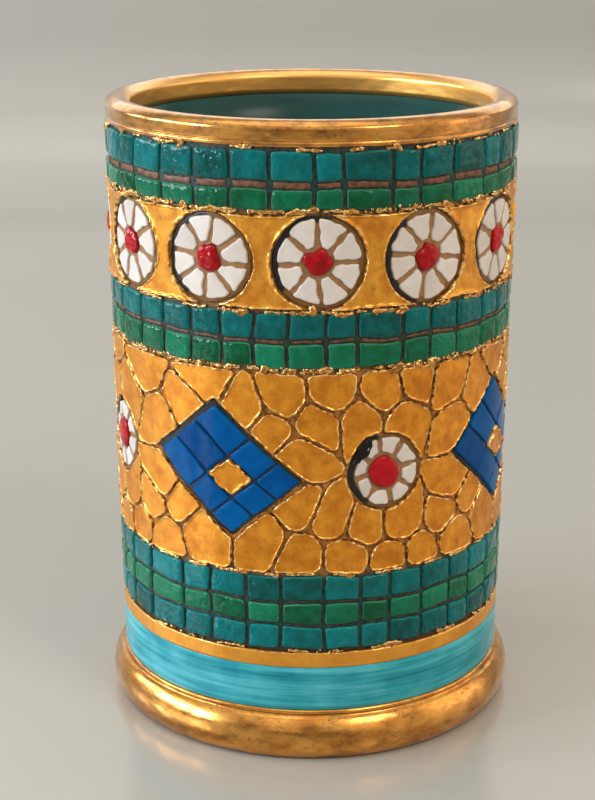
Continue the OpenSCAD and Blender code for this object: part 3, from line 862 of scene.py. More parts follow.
class CrumbSprinkler(Tool):
    """Sprinkles clusters of small gilt crumbs, pushed up by the cutting tool, along one border."""

    def __init__(self) -> None:
        """Builds the tree."""
        super().__init__(
            "crumb sprinkler",
            [
                ("Count", INT, 100),
                ("Cluster", INT, 5),
                ("Cluster spread", FLOAT, 1.6),
                ("Border height", FLOAT, 100.0),
                ("Border reach", FLOAT, 0.5),
                ("Wall radius", FLOAT, 43.0),
                ("Wall flare", FLOAT, 0.01),
                ("Lift", FLOAT, 0.45),
                ("Least size", FLOAT, 0.3),
                ("Most size", FLOAT, 0.9),
                ("Seed", INT, 0),
                ("Material", MATERIAL, None),
            ],
        )
        self.lay_nodes()

    def lay_nodes(self) -> None:
        """Builds the nodes: points near the border in clusters, and a lump on each."""
        add, given = partial(add_node, self.tree), self.start
        points = add("GeometryNodePoints", {"Count": given["Count"]}).outputs[0]
        index = add("GeometryNodeInputIndex").outputs[0]
        part = add("ShaderNodeMath", {0: index, 1: given["Cluster"]}, operation="DIVIDE").outputs[0]
        cluster = add("ShaderNodeMath", {0: part}, operation="FLOOR").outputs[0]
        around = add(
            "FunctionNodeRandomValue", {2: -math.pi, 3: math.pi, "ID": cluster, "Seed": given["Seed"]},
            data_type="FLOAT",
        ).outputs[1]
        scatter = add(
            "FunctionNodeRandomValue",
            {0: (-1.0, -1.0, -1.0), 1: (1.0, 1.0, 1.0), "ID": index, "Seed": given["Seed"]},
            data_type="FLOAT_VECTOR",
        ).outputs[0]
        apart = add("ShaderNodeSeparateXYZ", {0: scatter}).outputs
        aside = add(
            "ShaderNodeMath", {0: apart[0], 1: given["Cluster spread"]}, operation="MULTIPLY"
        ).outputs[0]
        swing = add("ShaderNodeMath", {0: aside, 1: given["Wall radius"]}, operation="DIVIDE").outputs[0]
        turn = add("ShaderNodeMath", {0: around, 1: swing}, operation="ADD").outputs[0]
        high = add(
            "ShaderNodeMath", {0: apart[1], 1: given["Border reach"], 2: given["Border height"]},
            operation="MULTIPLY_ADD",
        ).outputs[0]
        wall = add(
            "ShaderNodeMath", {0: high, 1: given["Wall flare"], 2: given["Wall radius"]},
            operation="MULTIPLY_ADD",
        ).outputs[0]
        lift = add(
            "ShaderNodeMath", {0: apart[2], 1: 0.2, 2: given["Lift"]}, operation="MULTIPLY_ADD"
        ).outputs[0]
        reach = add("ShaderNodeMath", {0: wall, 1: lift}, operation="ADD").outputs[0]
        spoke = self.spoke(turn)
        placed = self.moved(points, self.stood(spoke, reach, high))
        lump = add("GeometryNodeMeshIcoSphere", {"Radius": 0.5 * MM, "Subdivisions": 1}).outputs[0]
        # Each lies flat on the wall, turned any way.
        flat = add("FunctionNodeAlignRotationToVector", {"Vector": spoke}, axis="Z").outputs[0]
        tumble = add(
            "FunctionNodeRandomValue",
            {0: (-0.5, -0.5, 0.0), 1: (0.5, 0.5, 6.28), "ID": index, "Seed": given["Seed"]},
            data_type="FLOAT_VECTOR",
        ).outputs[0]
        roll = add("FunctionNodeEulerToRotation", {0: tumble}).outputs[0]
        turned = add(
            "FunctionNodeRotateRotation", {"Rotation": flat, "Rotate By": roll}, rotation_space="LOCAL"
        ).outputs[0]
        least = add(
            "ShaderNodeCombineXYZ", {0: given["Least size"], 1: given["Least size"], 2: given["Least size"]}
        ).outputs[0]
        most = add(
            "ShaderNodeCombineXYZ", {0: given["Most size"], 1: given["Most size"], 2: given["Most size"]}
        ).outputs[0]
        size = add(
            "FunctionNodeRandomValue", {0: least, 1: most, "ID": index, "Seed": given["Seed"]},
            data_type="FLOAT_VECTOR",
        ).outputs[0]
        flake = add("ShaderNodeVectorMath", {0: size, 1: (1.5, 0.8, 0.7)}, operation="MULTIPLY").outputs[0]
        crumbs = add(
            "GeometryNodeInstanceOnPoints",
            {"Points": placed, "Instance": lump, "Rotation": turned, "Scale": flake},
        ).outputs[0]
        self.close(crumbs)


# Pads


@dataclass(frozen=True)
class PadShape:
    """How a pad stands on the wall and how its outline was cut.

    `rings` are the ways in from the outline at which the mesh has points, and `grid` spaces the points within
    them. `burr` holds the burr's height, its way in from the edge, its width and the length of its breaks.
    `ripple` and `ragged` hold a depth and a size. `headings` bounds the ways, in degrees, that pads lean
    towards, or that a bed's painted shade lies towards.
    """

    thickness: float
    edge_start: float
    edge_round: float
    burr: tuple[float, float, float, float] = (0.0, 0.25, 0.2, 2.0)
    ripple: Pair = (0.04, 3.0)
    lean: float = 0.03
    corner: float = 0.45
    ragged: Pair = (0.1, 1.6)
    step: float = 0.4
    rings: tuple[float, ...] = (0.1, 0.22, 0.36, 0.55, 0.85)
    grid: float = 0.9
    grow: float = 0.0
    headings: Pair = (0.0, 360.0)


TILE = PadShape(
    0.8, 0.28, 0.95, burr=(0.1, 0.2, 0.12, 2.2), ripple=(0.05, 1.9), lean=0.022, corner=0.3,
    ragged=(0.17, 1.7), grow=0.12,
)
LOZENGE_TILE = PadShape(
    0.76, 0.3, 0.5, burr=(0.1, 0.2, 0.14, 2.0), ripple=(0.035, 2.6), lean=0.015, corner=0.26,
    ragged=(0.16, 1.8), grow=0.1,
)
CELL = PadShape(
    0.58, 0.4, 0.26, burr=(0.34, 0.24, 0.15, 1.2), ripple=(0.04, 4.0), lean=0.015, corner=0.42,
    ragged=(0.2, 1.2), step=0.36, rings=(0.08, 0.17, 0.26, 0.36, 0.48, 0.66, 0.95), grid=1.1, grow=0.1,
)
PETAL = PadShape(
    0.6, 0.4, 0.5, burr=(0.06, 0.2, 0.15, 2.0), ripple=(0.05, 2.4), lean=0.02, corner=0.3,
    ragged=(0.42, 1.7), step=0.35, rings=(0.1, 0.22, 0.36, 0.55), grid=0.8,
)
BLOB = PadShape(
    1.15, 0.35, 2.0, ripple=(0.45, 1.4), lean=0.0, corner=0.35, ragged=(0.85, 2.0), step=0.3,
    rings=(0.1, 0.25, 0.45, 0.7, 1.0, 1.4, 1.9), grid=0.6, grow=-0.05,
)
ROUND_BLOB = replace(BLOB, ripple=(0.22, 1.8), ragged=(0.3, 2.5))
STRIP = PadShape(
    0.2, 0.4, 0.2, ripple=(0.08, 1.3), lean=0.0, corner=0.15, ragged=(0.26, 1.2), rings=(0.12,), grid=0.6
)
SELVAGE = PadShape(
    0.5, 0.4, 0.35, burr=(0.3, 0.25, 0.22, 0.9), ripple=(0.35, 1.1), lean=0.0, corner=0.3,
    ragged=(0.42, 1.3), step=0.3, rings=(0.12, 0.24, 0.4), grid=0.6,
)
KNOT = PadShape(
    0.95, 0.3, 0.6, burr=(0.3, 0.35, 0.3, 0.8), ripple=(0.45, 0.9), lean=0.0, corner=0.4,
    ragged=(0.55, 1.1), step=0.3, rings=(0.12, 0.26, 0.45, 0.7), grid=0.5,
)
# Shape of the black pads of painted shade.
SHADE_SHAPE = PadShape(
    0.68, 0.6, 0.4, burr=(0.1, 0.2, 0.15, 1.4), ripple=(0.16, 1.2), lean=0.0, corner=0.3, ragged=(0.6, 1.2),
    step=0.3, rings=(0.12, 0.3), grid=0.6,
)
FRIEZE_CELL = replace(CELL, burr=(0.5, 0.34, 0.24, 1.3))
LOZENGE_MIDDLE = replace(CELL, thickness=0.7, burr=(0.5, 0.35, 0.3, 1.2), ragged=(0.65, 1.6))
# The bed's headings point to its side of painted shade.
BED = PadShape(
    0.14, 0.9, 0.2, ripple=(0.03, 2.0), lean=0.0, corner=0.4, ragged=(0.18, 1.8), step=0.6,
    rings=(0.4, 0.8, 1.3, 1.8), grid=1.6, headings=(135.0, 200.0),
)


@dataclass(frozen=True)
class Wall:
    """The tapering clay wall that carries the pads."""

    foot_z: float = 11.2
    foot_r: float = 43.0
    lip_z: float = 132.9
    lip_r: float = 44.3
    unrolled_r: float = 44.5
    facing_out: float = 0.55

    @property
    def flare(self) -> float:
        """Growth of the radius for each millimetre of height."""
        return (self.lip_r - self.foot_r) / (self.lip_z - self.foot_z)

    def radius(self, z: float) -> float:
        """Returns the radius of the bare clay at a height."""
        return self.foot_r + self.flare * (z - self.foot_z)

    def unroll(self, points: np.ndarray) -> np.ndarray:
        """Unrolls a chain of points from the wall on to a flat sheet.

        Args:
            points: Points in millimetres, one row each.

        Returns:
            The way round the wall and the height of each point.
        """
        azimuth = np.unwrap(np.arctan2(points[:, 0], -points[:, 1]))
        azimuth -= 2 * math.pi * round(float(azimuth.mean()) / (2 * math.pi))
        return np.column_stack([azimuth * self.unrolled_r, points[:, 2]])

    def outlines(self, node: str) -> list[np.ndarray]:
        """Reads the outlines of the pads of a CAD node, as they are seen from outside.

        Args:
            node: Name of the node.

        Returns:
            One closed outline for each pad, counter-clockwise on the flat sheet.
        """
        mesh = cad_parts[node].data
        mesh.calc_loop_triangles()
        loose = np.empty(3 * len(mesh.vertices))
        mesh.vertices.foreach_get("co", loose)
        corners = np.empty(3 * len(mesh.loop_triangles), dtype=np.int32)
        mesh.loop_triangles.foreach_get("vertices", corners)
        microns = np.round(loose.reshape(-1, 3) * 1e6).astype(np.int64)
        keys, index = np.unique(microns, axis=0, return_inverse=True)
        points = keys / 1000.0
        faces = index.reshape(-1)[corners].reshape(-1, 3)
        a, b, c = points[faces[:, 0]], points[faces[:, 1]], points[faces[:, 2]]
        normal = np.cross(b - a, c - a)
        middle = (a + b + c) / 3.0
        outward = (normal[:, 0] * middle[:, 0] + normal[:, 1] * middle[:, 1]) / (
            np.linalg.norm(normal, axis=1) * np.linalg.norm(middle[:, :2], axis=1) + 1e-12
        )
        edges = set()
        for face in faces[outward > self.facing_out]:
            edges.update(((face[0], face[1]), (face[1], face[2]), (face[2], face[0])))
        follow = {start: end for start, end in edges if (end, start) not in edges}
        loops = []
        while follow:
            start, at = follow.popitem()
            chain = [start]
            while at != start and at in follow:
                chain.append(at)
                at = follow.pop(at)
            if len(chain) > 3:
                loops.append(self.unroll(points[chain]))
        return sorted(loops, key=lambda loop: (round(float(loop[:, 1].mean())), float(loop[:, 0].mean())))

    def gathered(self, node: str) -> list[np.ndarray]:
        """Reads the outlines of pads that lie close together, and keeps them so across the back.

        Args:
            node: Name of the node.

        Returns:
            One closed outline for each pad.
        """
        loops = self.outlines(node)
        turn = 2 * math.pi * self.unrolled_r
        first = loops[0][:, 0].mean()
        return [loop - (turn * round(float(loop[:, 0].mean() - first) / turn), 0.0) for loop in loops]


def resample(loop: np.ndarray, step: float) -> np.ndarray:
    """Spaces the points of a closed outline evenly.

    Args:
        loop: The outline.
        step: The spacing.

    Returns:
        The outline with new points.
    """
    closed = np.vstack([loop, loop[:1]])
    run = np.concatenate([[0.0], np.cumsum(np.linalg.norm(np.diff(closed, axis=0), axis=1))])
    at = np.linspace(0.0, run[-1], max(12, round(run[-1] / step)), endpoint=False)
    return np.column_stack([np.interp(at, run, closed[:, k]) for k in (0, 1)])


def inward(loop: np.ndarray) -> np.ndarray:
    """Works out which way is in.

    Args:
        loop: A counter-clockwise outline.

    Returns:
        The unit normal of each point, pointing in.
    """
    along = np.roll(loop, -1, axis=0) - np.roll(loop, 1, axis=0)
    along /= np.linalg.norm(along, axis=1, keepdims=True) + 1e-12
    return np.column_stack([-along[:, 1], along[:, 0]])


def way_in(points: np.ndarray, loop: np.ndarray) -> np.ndarray:
    """Measures how far points lie inside an outline.

    Args:
        points: The points.
        loop: The closed outline.

    Returns:
        The distance to the outline, negative outside it.
    """
    a, b = loop, np.roll(loop, -1, axis=0)
    side = b - a
    gap = points[:, None, :] - a[None]
    share = np.clip((gap * side).sum(-1) / ((side * side).sum(-1) + 1e-12), 0.0, 1.0)
    distance = np.linalg.norm(gap - share[..., None] * side, axis=-1).min(axis=1)
    above = (a[None, :, 1] > points[:, None, 1]) != (b[None, :, 1] > points[:, None, 1])
    rise = np.where(np.abs(side[:, 1]) < 1e-12, 1e-12, side[:, 1])
    cross = a[None, :, 0] + (points[:, None, 1] - a[None, :, 1]) / rise[None] * side[None, :, 0]
    inside = (above & (points[:, None, 0] < cross)).sum(axis=1) % 2 == 1
    return np.where(inside, distance, -distance)


class PadMaker:
    """Cuts flat pads by hand along given outlines and presses them on to the wall."""

    fine: float = 0.12
    touch: float = 1e-5
    row_share: float = 0.87
    ring_slack: float = 0.02
    grid_clear: float = 0.35
    seed_shift: float = 0.37

    def __init__(self, wall: Wall, hand: float = 0.55, hand_size: float = 8.0) -> None:
        """Keeps the wall and makes the press.

        Args:
            wall: The wall that carries the pads.
            hand: How far the freehand drawing strays.
            hand_size: How long its waves are.
        """
        self.wall = wall
        self.hand = hand
        self.hand_size = hand_size
        self.press = PadPress()

    def hand_cut(self, loop: np.ndarray, shape: PadShape, seed: float) -> np.ndarray:
        """Rounds the corners of an outline and lets it waver as a hand-held tool does.

        Args:
            loop: The outline.
            shape: The pad's shape.
            seed: Seed of the wavering.

        Returns:
            The outline as cut.
        """
        fine = resample(loop, self.fine)
        if shape.corner:
            count = len(fine)
            turns = np.fft.fftfreq(count, d=self.fine)
            blur = np.exp(-2.0 * (math.pi * turns * shape.corner) ** 2)
            fine = np.column_stack([np.fft.ifft(np.fft.fft(fine[:, k]) * blur).real for k in (0, 1)])
        cut = resample(fine, shape.step)
        depth, size = shape.ragged
        waver = np.array([noise.noise(Vector((u / size, v / size, seed))) for u, v in cut])
        return self.drawn(cut + inward(cut) * (waver * depth - shape.grow)[:, None])

    def drawn(self, points: np.ndarray) -> np.ndarray:
        """Shifts points as the freehand drawing on the wall wavers, the same for every pad.

        Args:
            points: Points on the flat sheet.

        Returns:
            The points where the hand put them.
        """
        r, size = self.wall.unrolled_r, self.hand_size
        spots = (Vector((r * math.sin(u / r), -r * math.cos(u / r), v)) for u, v in points)
        shifts = [noise.noise_vector(spot / size)[:2] for spot in spots]
        return points + self.hand * np.array(shifts)

    def pad(self, loop: np.ndarray, shape: PadShape) -> tuple[np.ndarray, list, np.ndarray, list]:
        """Fills an outline with triangles.

        Args:
            loop: The outline as cut.
            shape: The pad's shape.

        Returns:
            The points of the top, its triangles, the ways in of its points, and the triangles of the plain
            underside.
        """
        normal = inward(loop)
        rings = [loop + normal * way for way in shape.rings]
        low, high = loop.min(axis=0), loop.max(axis=0)
        rows = np.arange(low[1], high[1], shape.grid * self.row_share)
        grid = [
            (u + (shape.grid / 2 if j % 2 else 0.0), v)
            for j, v in enumerate(rows)
            for u in np.arange(low[0], high[0], shape.grid)
        ]
        inner = [loop]
        for way, ring in zip(shape.rings, rings):
            inner.append(ring[way_in(ring, loop) > way - self.ring_slack])
        if grid:
            spread = np.array(grid)
            inner.append(spread[way_in(spread, loop) > shape.rings[-1] + self.grid_clear * shape.grid])
        points = np.vstack(inner)
        outline = [list(range(len(loop)))]
        top, _, faces, *_ = delaunay_2d_cdt([Vector(p) for p in points], [], outline, 1, self.touch)
        bare, _, under, *_ = delaunay_2d_cdt([Vector(p) for p in loop], [], outline, 1, self.touch)
        spots = np.array([tuple(p) for p in top])
        return spots, faces, np.maximum(way_in(spots, loop), 0.0), under if len(bare) == len(loop) else []

    def blank(self, name: str, loops: Iterable[np.ndarray], shape: PadShape, seed: int) -> bpy.types.Mesh:
        """Makes the flat pads of one piece.

        Args:
            name: Name of the piece.
            loops: Outlines of its pads.
            shape: Shape of its pads.
            seed: Seed of the cutting and of the tones.

        Returns:
            A mesh with the attributes that the press and the finishes read.
        """
        chance = np.random.default_rng(seed)
        points, faces, inset, top, tone, tilt = [], [], [], [], [], []
        for loop in loops:
            cut = self.hand_cut(loop, shape, seed + self.seed_shift)
            spots, upper, way, under = self.pad(cut, shape)
            count, first = len(cut), len(points)
            drop = first + len(spots)
            points.extend((u, v, 0.0) for u, v in spots)
            points.extend((u, v, 0.0) for u, v in cut)
            faces.extend(tuple(first + i for i in face) for face in upper)
            faces.extend(
                (drop + i, drop + (i + 1) % count, first + (i + 1) % count, first + i) for i in range(count)
            )
            faces.extend(tuple(drop + i for i in reversed(face)) for face in under)
            heading = math.radians(chance.uniform(*shape.headings))
            off = spots - cut.mean(axis=0)
            inset.extend([*way, *([0.0] * count)])
            top.extend([1.0] * len(spots) + [0.0] * count)
            tone.extend([chance.uniform()] * (len(spots) + count))
            tilt.extend([*(off[:, 0] * math.cos(heading) + off[:, 1] * math.sin(heading)), *([0.0] * count)])
        mesh = bpy.data.meshes.new(name)
        mesh.from_pydata(points, [], faces)
        for label, values in (("inset", inset), ("top", top), ("tone", tone), ("tilt", tilt)):
            mesh.attributes.new(label, "FLOAT", "POINT").data.foreach_set("value", values)
        return mesh

    def make(
        self, name: str, loops: Iterable[np.ndarray], shape: PadShape, material: bpy.types.Material, seed: int
    ) -> bpy.types.Object:
        """Makes one piece of pads on the wall.

        Args:
            name: Name of the piece.
            loops: Outlines of its pads.
            shape: Shape of its pads.
            material: Its finish.
            seed: Seed of the cutting, the tones and the ripples.

        Returns:
            The piece.
        """
        height, place, width, size = shape.burr
        return self.press.use(
            name,
            self.blank(name, loops, shape, seed),
            {
                "Wall radius": self.wall.radius(0.0),
                "Wall flare": self.wall.flare,
                "Unrolled radius": self.wall.unrolled_r,
                "Thickness": shape.thickness,
                "Edge start": shape.edge_start,
                "Edge round": shape.edge_round,
                "Burr height": height,
                "Burr place": place,
                "Burr width": width,
                "Burr size": size,
                "Ripple height": shape.ripple[0],
                "Ripple size": shape.ripple[1],
                "Lean": shape.lean,
                "Seed": float(seed),
                "Material": material,
            },
        )


# Sub-assemblies


@dataclass
class TurnedCoat:
    """A coat that goes round the pot, thrown from its section.

    `section` runs up the outside, over the top and down the inside. The points that `loose` lists by their
    place in it may sway up and down, as the border of a brushed coat does. `waver` and `sway` hold a depth
    and a size.
    """

    name: str
    node: str
    slot: Slot
    finish: Finish
    section: list[Point]
    loose: tuple[int, ...] = ()
    waver: Pair = (0.08, 22.0)
    sway: Pair = (0.0, 6.0)
    seed: int = 1
    steps: int = 224
    border_inset: float = 0.2
    body_inset: float = 9.0

    def build(self, wheel: Wheel) -> None:
        """Throws the coat and hands it over.

        Args:
            wheel: The tool that bends the strip into a ring.
        """
        count = len(self.section)
        points, faces, free = [], [], []
        for i in range(self.steps + 1):
            azimuth = math.pi * (2.0 * i / self.steps - 1.0)
            points.extend((azimuth, r, z) for r, z in self.section)
            free.extend(1.0 if j in self.loose else 0.0 for j in range(count))
        for i in range(self.steps):
            for j in range(count):
                a, b = i * count + j, i * count + (j + 1) % count
                faces.append((a, a + count, b + count, b))
        strip = bpy.data.meshes.new(self.name)
        strip.from_pydata(points, [], faces)
        inset = [self.border_inset if loose else self.body_inset for loose in free]
        for label, values in (("free", free), ("inset", inset)):
            strip.attributes.new(label, "FLOAT", "POINT").data.foreach_set("value", values)
        piece = wheel.use(
            self.name,
            strip,
            {
                "Waver": self.waver[0],
                "Waver size": self.waver[1],
                "Sway": self.sway[0],
                "Sway size": self.sway[1],
                "Seed": float(self.seed),
                "Material": self.finish.material(),
            },
        )
        hand_over(piece, self.slot, self.node)


def on_circle(middle: Sequence[float], r: float, turn: float) -> Point:
    """Returns the point of a circle at an angle in radians."""
    return (middle[0] + r * math.cos(turn), middle[1] + r * math.sin(turn))


def arc(middle: Point, r: float, start: float, end: float, steps: int) -> list[Point]:
    """Returns points of an arc, with its ends, at angles in degrees from outward towards up."""
    turns = (math.radians(start + (end - start) * i / steps) for i in range(steps + 1))
    return [on_circle(middle, r, turn) for turn in turns]


def straight(a: Point, b: Point, steps: int) -> list[Point]:
    """Returns points of a straight run, without its end."""
    return [(a[0] + (b[0] - a[0]) * i / steps, a[1] + (b[1] - a[1]) * i / steps) for i in range(steps)]


@dataclass
class ThrownRings:
    """The parts that go all round: lip, lining, plain bands and foot."""

    wall: Wall
    height: float = 138.0
    coat: float = 0.4
    pad: float = 0.7
    lip_out_r: float = 44.9
    lip_in_r: float = 39.49
    lip_out_z: float = 132.9
    lip_in_z: float = 132.4
    lip_dome: float = 1.25
    lip_line_up: float = 0.8
    lip_cut: float = 0.2
    foot_r: float = 46.5
    roll_r: float = 6.8
    roll_z: float = 4.8
    step_z: float = 10.2
    step_r: float = 44.1
    step_h: float = 1.0
    line: float = 0.5
    line_cut: float = 0.25
    bare: float = 0.5
    tuck: float = 0.05
    floor_z: float = 8.5
    fillet: float = 5.0
    wall_t: float = 4.4
    stripe_z: float = 21.2
    stripe_top: float = 24.6

    def lip_section(self) -> list[Point]:
        """Draws the gilding over the lip, with the line cut in its outside.

        Returns:
            Its section.
        """
        half = (self.lip_out_r - self.lip_in_r) / 2
        dome = self.lip_dome * (half - self.coat) + self.coat
        middle = ((self.lip_out_r + self.lip_in_r) / 2, self.height - dome)
        edge = math.degrees(math.acos(half / dome)) + 4.0
        low = middle[1] + dome * math.sin(math.radians(edge)) - 0.25
        out, inside, cut = self.lip_out_r, self.lip_in_r, self.lip_out_z + self.lip_line_up
        deep = out - self.lip_cut
        return (
            [(out - 0.12, self.lip_out_z), (out, self.lip_out_z + 0.15), (out, cut - 0.1), (out - 0.06, cut)]
            + [(deep, cut + 0.1), (deep, cut + 0.25), (out - 0.06, cut + 0.35), (out, cut + 0.45)]
            + straight((out, cut + 0.7), (out, low), 4)
            + [(out - 0.02, low)]
            + arc(middle, dome, edge, 180 - edge, 26)
            + [(inside + 0.02, low), (inside, low - 0.4)]
            + straight((inside, low - 0.8), (inside, self.lip_in_z + 0.2), 3)
            + [(inside, self.lip_in_z + 0.2), (inside + self.coat, self.lip_in_z)]
            + arc(middle, dome - self.coat - self.tuck, 180 - edge - 6, edge + 6, 10)
            + [(out - self.coat - self.tuck, self.lip_out_z)]
        )

    def lining_section(self) -> list[Point]:
        """Draws the lining, from the middle of the floor to the gilding and back.

        Returns:
            Its section.
        """
        top = self.wall.radius(self.lip_in_z) - self.wall_t
        low = self.wall.radius(self.floor_z + self.fillet) - self.wall_t
        z = self.floor_z
        outer = (
            [(0.0, z)]
            + arc((low - self.fillet, z + self.fillet), self.fillet, -90, 0, 12)
            + [(top, self.lip_in_z)]
        )
        r = self.fillet - self.coat
        inner = (
            straight((top - self.coat, self.lip_in_z), (low - self.coat, z + self.fillet), 12)
            + arc((low - self.fillet, z + self.fillet), r, 0, -90, 12)
            + straight((low - self.fillet - 4.0, z + self.coat), (0.0, z + self.coat), 8)
            + [(0.0, z + self.coat)]
        )
        return outer + inner

    def band_section(self, low: float, high: float) -> list[Point]:
        """Returns the section of a plain band between two heights."""
        out = [(self.wall.radius(z) + self.pad, z) for z in np.linspace(low + 0.12, high - 0.12, 9)]
        return (
            [(self.wall.radius(low) + self.pad - 0.12, low)]
            + out
            + [(self.wall.radius(high) + self.pad - 0.14, high)]
            + [(self.wall.radius(high) - self.tuck, high), (self.wall.radius(low) - self.tuck, low)]
        )

    def foot_section(self) -> list[Point]:
        """Draws the gilding over the rolled foot and its step.

        Returns:
            Its section.
        """
        step, top = self.step_z, self.step_z + self.step_h
        middle = (self.foot_r - self.roll_r, self.roll_z)
        low = math.degrees(math.asin((self.bare - self.roll_z) / self.roll_r))
        line_up = step - self.line - self.roll_z
        high = math.degrees(math.asin(line_up / self.roll_r))
        inner = self.roll_r - self.coat - self.tuck
        in_high = math.degrees(math.asin((step - 0.3 - self.roll_z) / inner))
        in_low = math.degrees(math.asin((self.bare - self.roll_z) / inner))
        groove = middle[0] + math.sqrt((self.roll_r - self.line_cut) ** 2 - line_up**2)
        wall = self.wall.radius(top) - self.tuck
        return (
            arc(middle, self.roll_r, low, high - 2.0, 34)
            + [(groove, step - self.line + 0.08), (groove - self.line_cut, step - 0.08)]
            + [(self.step_r - 0.2, step), (self.step_r, step + 0.2), (self.step_r, step + 0.7)]
            + [(self.step_r - 0.25, top), (wall, top), (wall, step - 0.25)]
            + arc(middle, inner, in_high, in_low, 8)
        )

    def build(self, wheel: Wheel) -> None:
        """Throws every ring.

        Args:
            wheel: The tool that bends a strip into a ring.
        """
        foot = self.step_z + self.step_h
        coats = (
            TurnedCoat(
                "lip_gilding", "gilt_lip", Slot.GOLD, LIP_GOLD, self.lip_section(), loose=(0, 1),
                waver=(0.1, 16.0), sway=(0.22, 3.0), seed=3,
            ),
            TurnedCoat(
                "lining", "inner_glaze", Slot.LINING, LINING_GLAZE, self.lining_section(),
                waver=(0.0, 30.0), sway=(0.0, 8.0), seed=4,
            ),
            TurnedCoat(
                "foot_gilding", "gilt_foot", Slot.GOLD, FOOT_GOLD, self.foot_section(), waver=(0.1, 24.0),
                sway=(0.0, 8.0), seed=5,
            ),
            TurnedCoat(
                "gilt_line", "gilt_stripe", Slot.GOLD, LINE_GOLD,
                self.band_section(self.stripe_z, self.stripe_top), loose=(9, 10), waver=(0.06, 20.0),
                sway=(0.25, 2.5), seed=6,
            ),
            TurnedCoat(
                "brushed_band", "turquoise_band", Slot.TURQUOISE, TURQUOISE_GLAZE,
                self.band_section(foot, self.stripe_z), waver=(0.08, 26.0), sway=(0.0, 8.0), seed=7,
            ),
        )
        for coat in coats:
            coat.build(wheel)


@dataclass
class ClayBody:
    """The thrown clay itself, which shows in the cut lines and under the foot."""

    node: str = "clay_body"

    def dress(self) -> None:
        """Gives the CAD node its fired clay."""
        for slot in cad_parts[self.node].material_slots:
            slot.material = CLAY.material()
        LOG.info("%s: CAD node with %s", self.node, CLAY.name)


@dataclass
class TileBand:
    """Rows of tiles over each other, from the top down, with bare clay in the lines between the rows."""

    name: str
    rows: tuple[tuple[str, Slot, PadGlaze], ...]
    seed: int
    strip_side: float = 0.2
    strip_clear: float = 0.42

    def build(self, maker: PadMaker) -> None:
        """Makes the rows and the bare strips between them.

        Args:
            maker: The maker of the pads.
        """
        above: list[np.ndarray] = []
        strips: list[np.ndarray] = []
        for k, (node, slot, glaze) in enumerate(self.rows):
            loops = maker.wall.outlines(node)
            piece = maker.make("glazed_" + node, loops, TILE, glaze.material(), self.seed + k)
            hand_over(piece, slot, node)
            strips.extend(self.strip(high, low) for high, low in zip(above, loops))
            above = loops
        piece = maker.make(self.name + "_bare_clay", strips, STRIP, BARE_CLAY.material(), self.seed + 9)
        hand_over(piece, Slot.CLAY)

    def strip(self, high: np.ndarray, low: np.ndarray) -> np.ndarray:
        """Lays out the bare strip between two tiles.

        Args:
            high: The outline of a tile.
            low: The outline of the tile below it.

        Returns:
            The outline of the strip.
        """
        left, right = high[:, 0].min() + self.strip_side, high[:, 0].max() - self.strip_side
        bottom, top = low[:, 1].max() + self.strip_clear, high[:, 1].min() - self.strip_clear
        return np.array([(left, bottom), (right, bottom), (right, top), (left, top)])


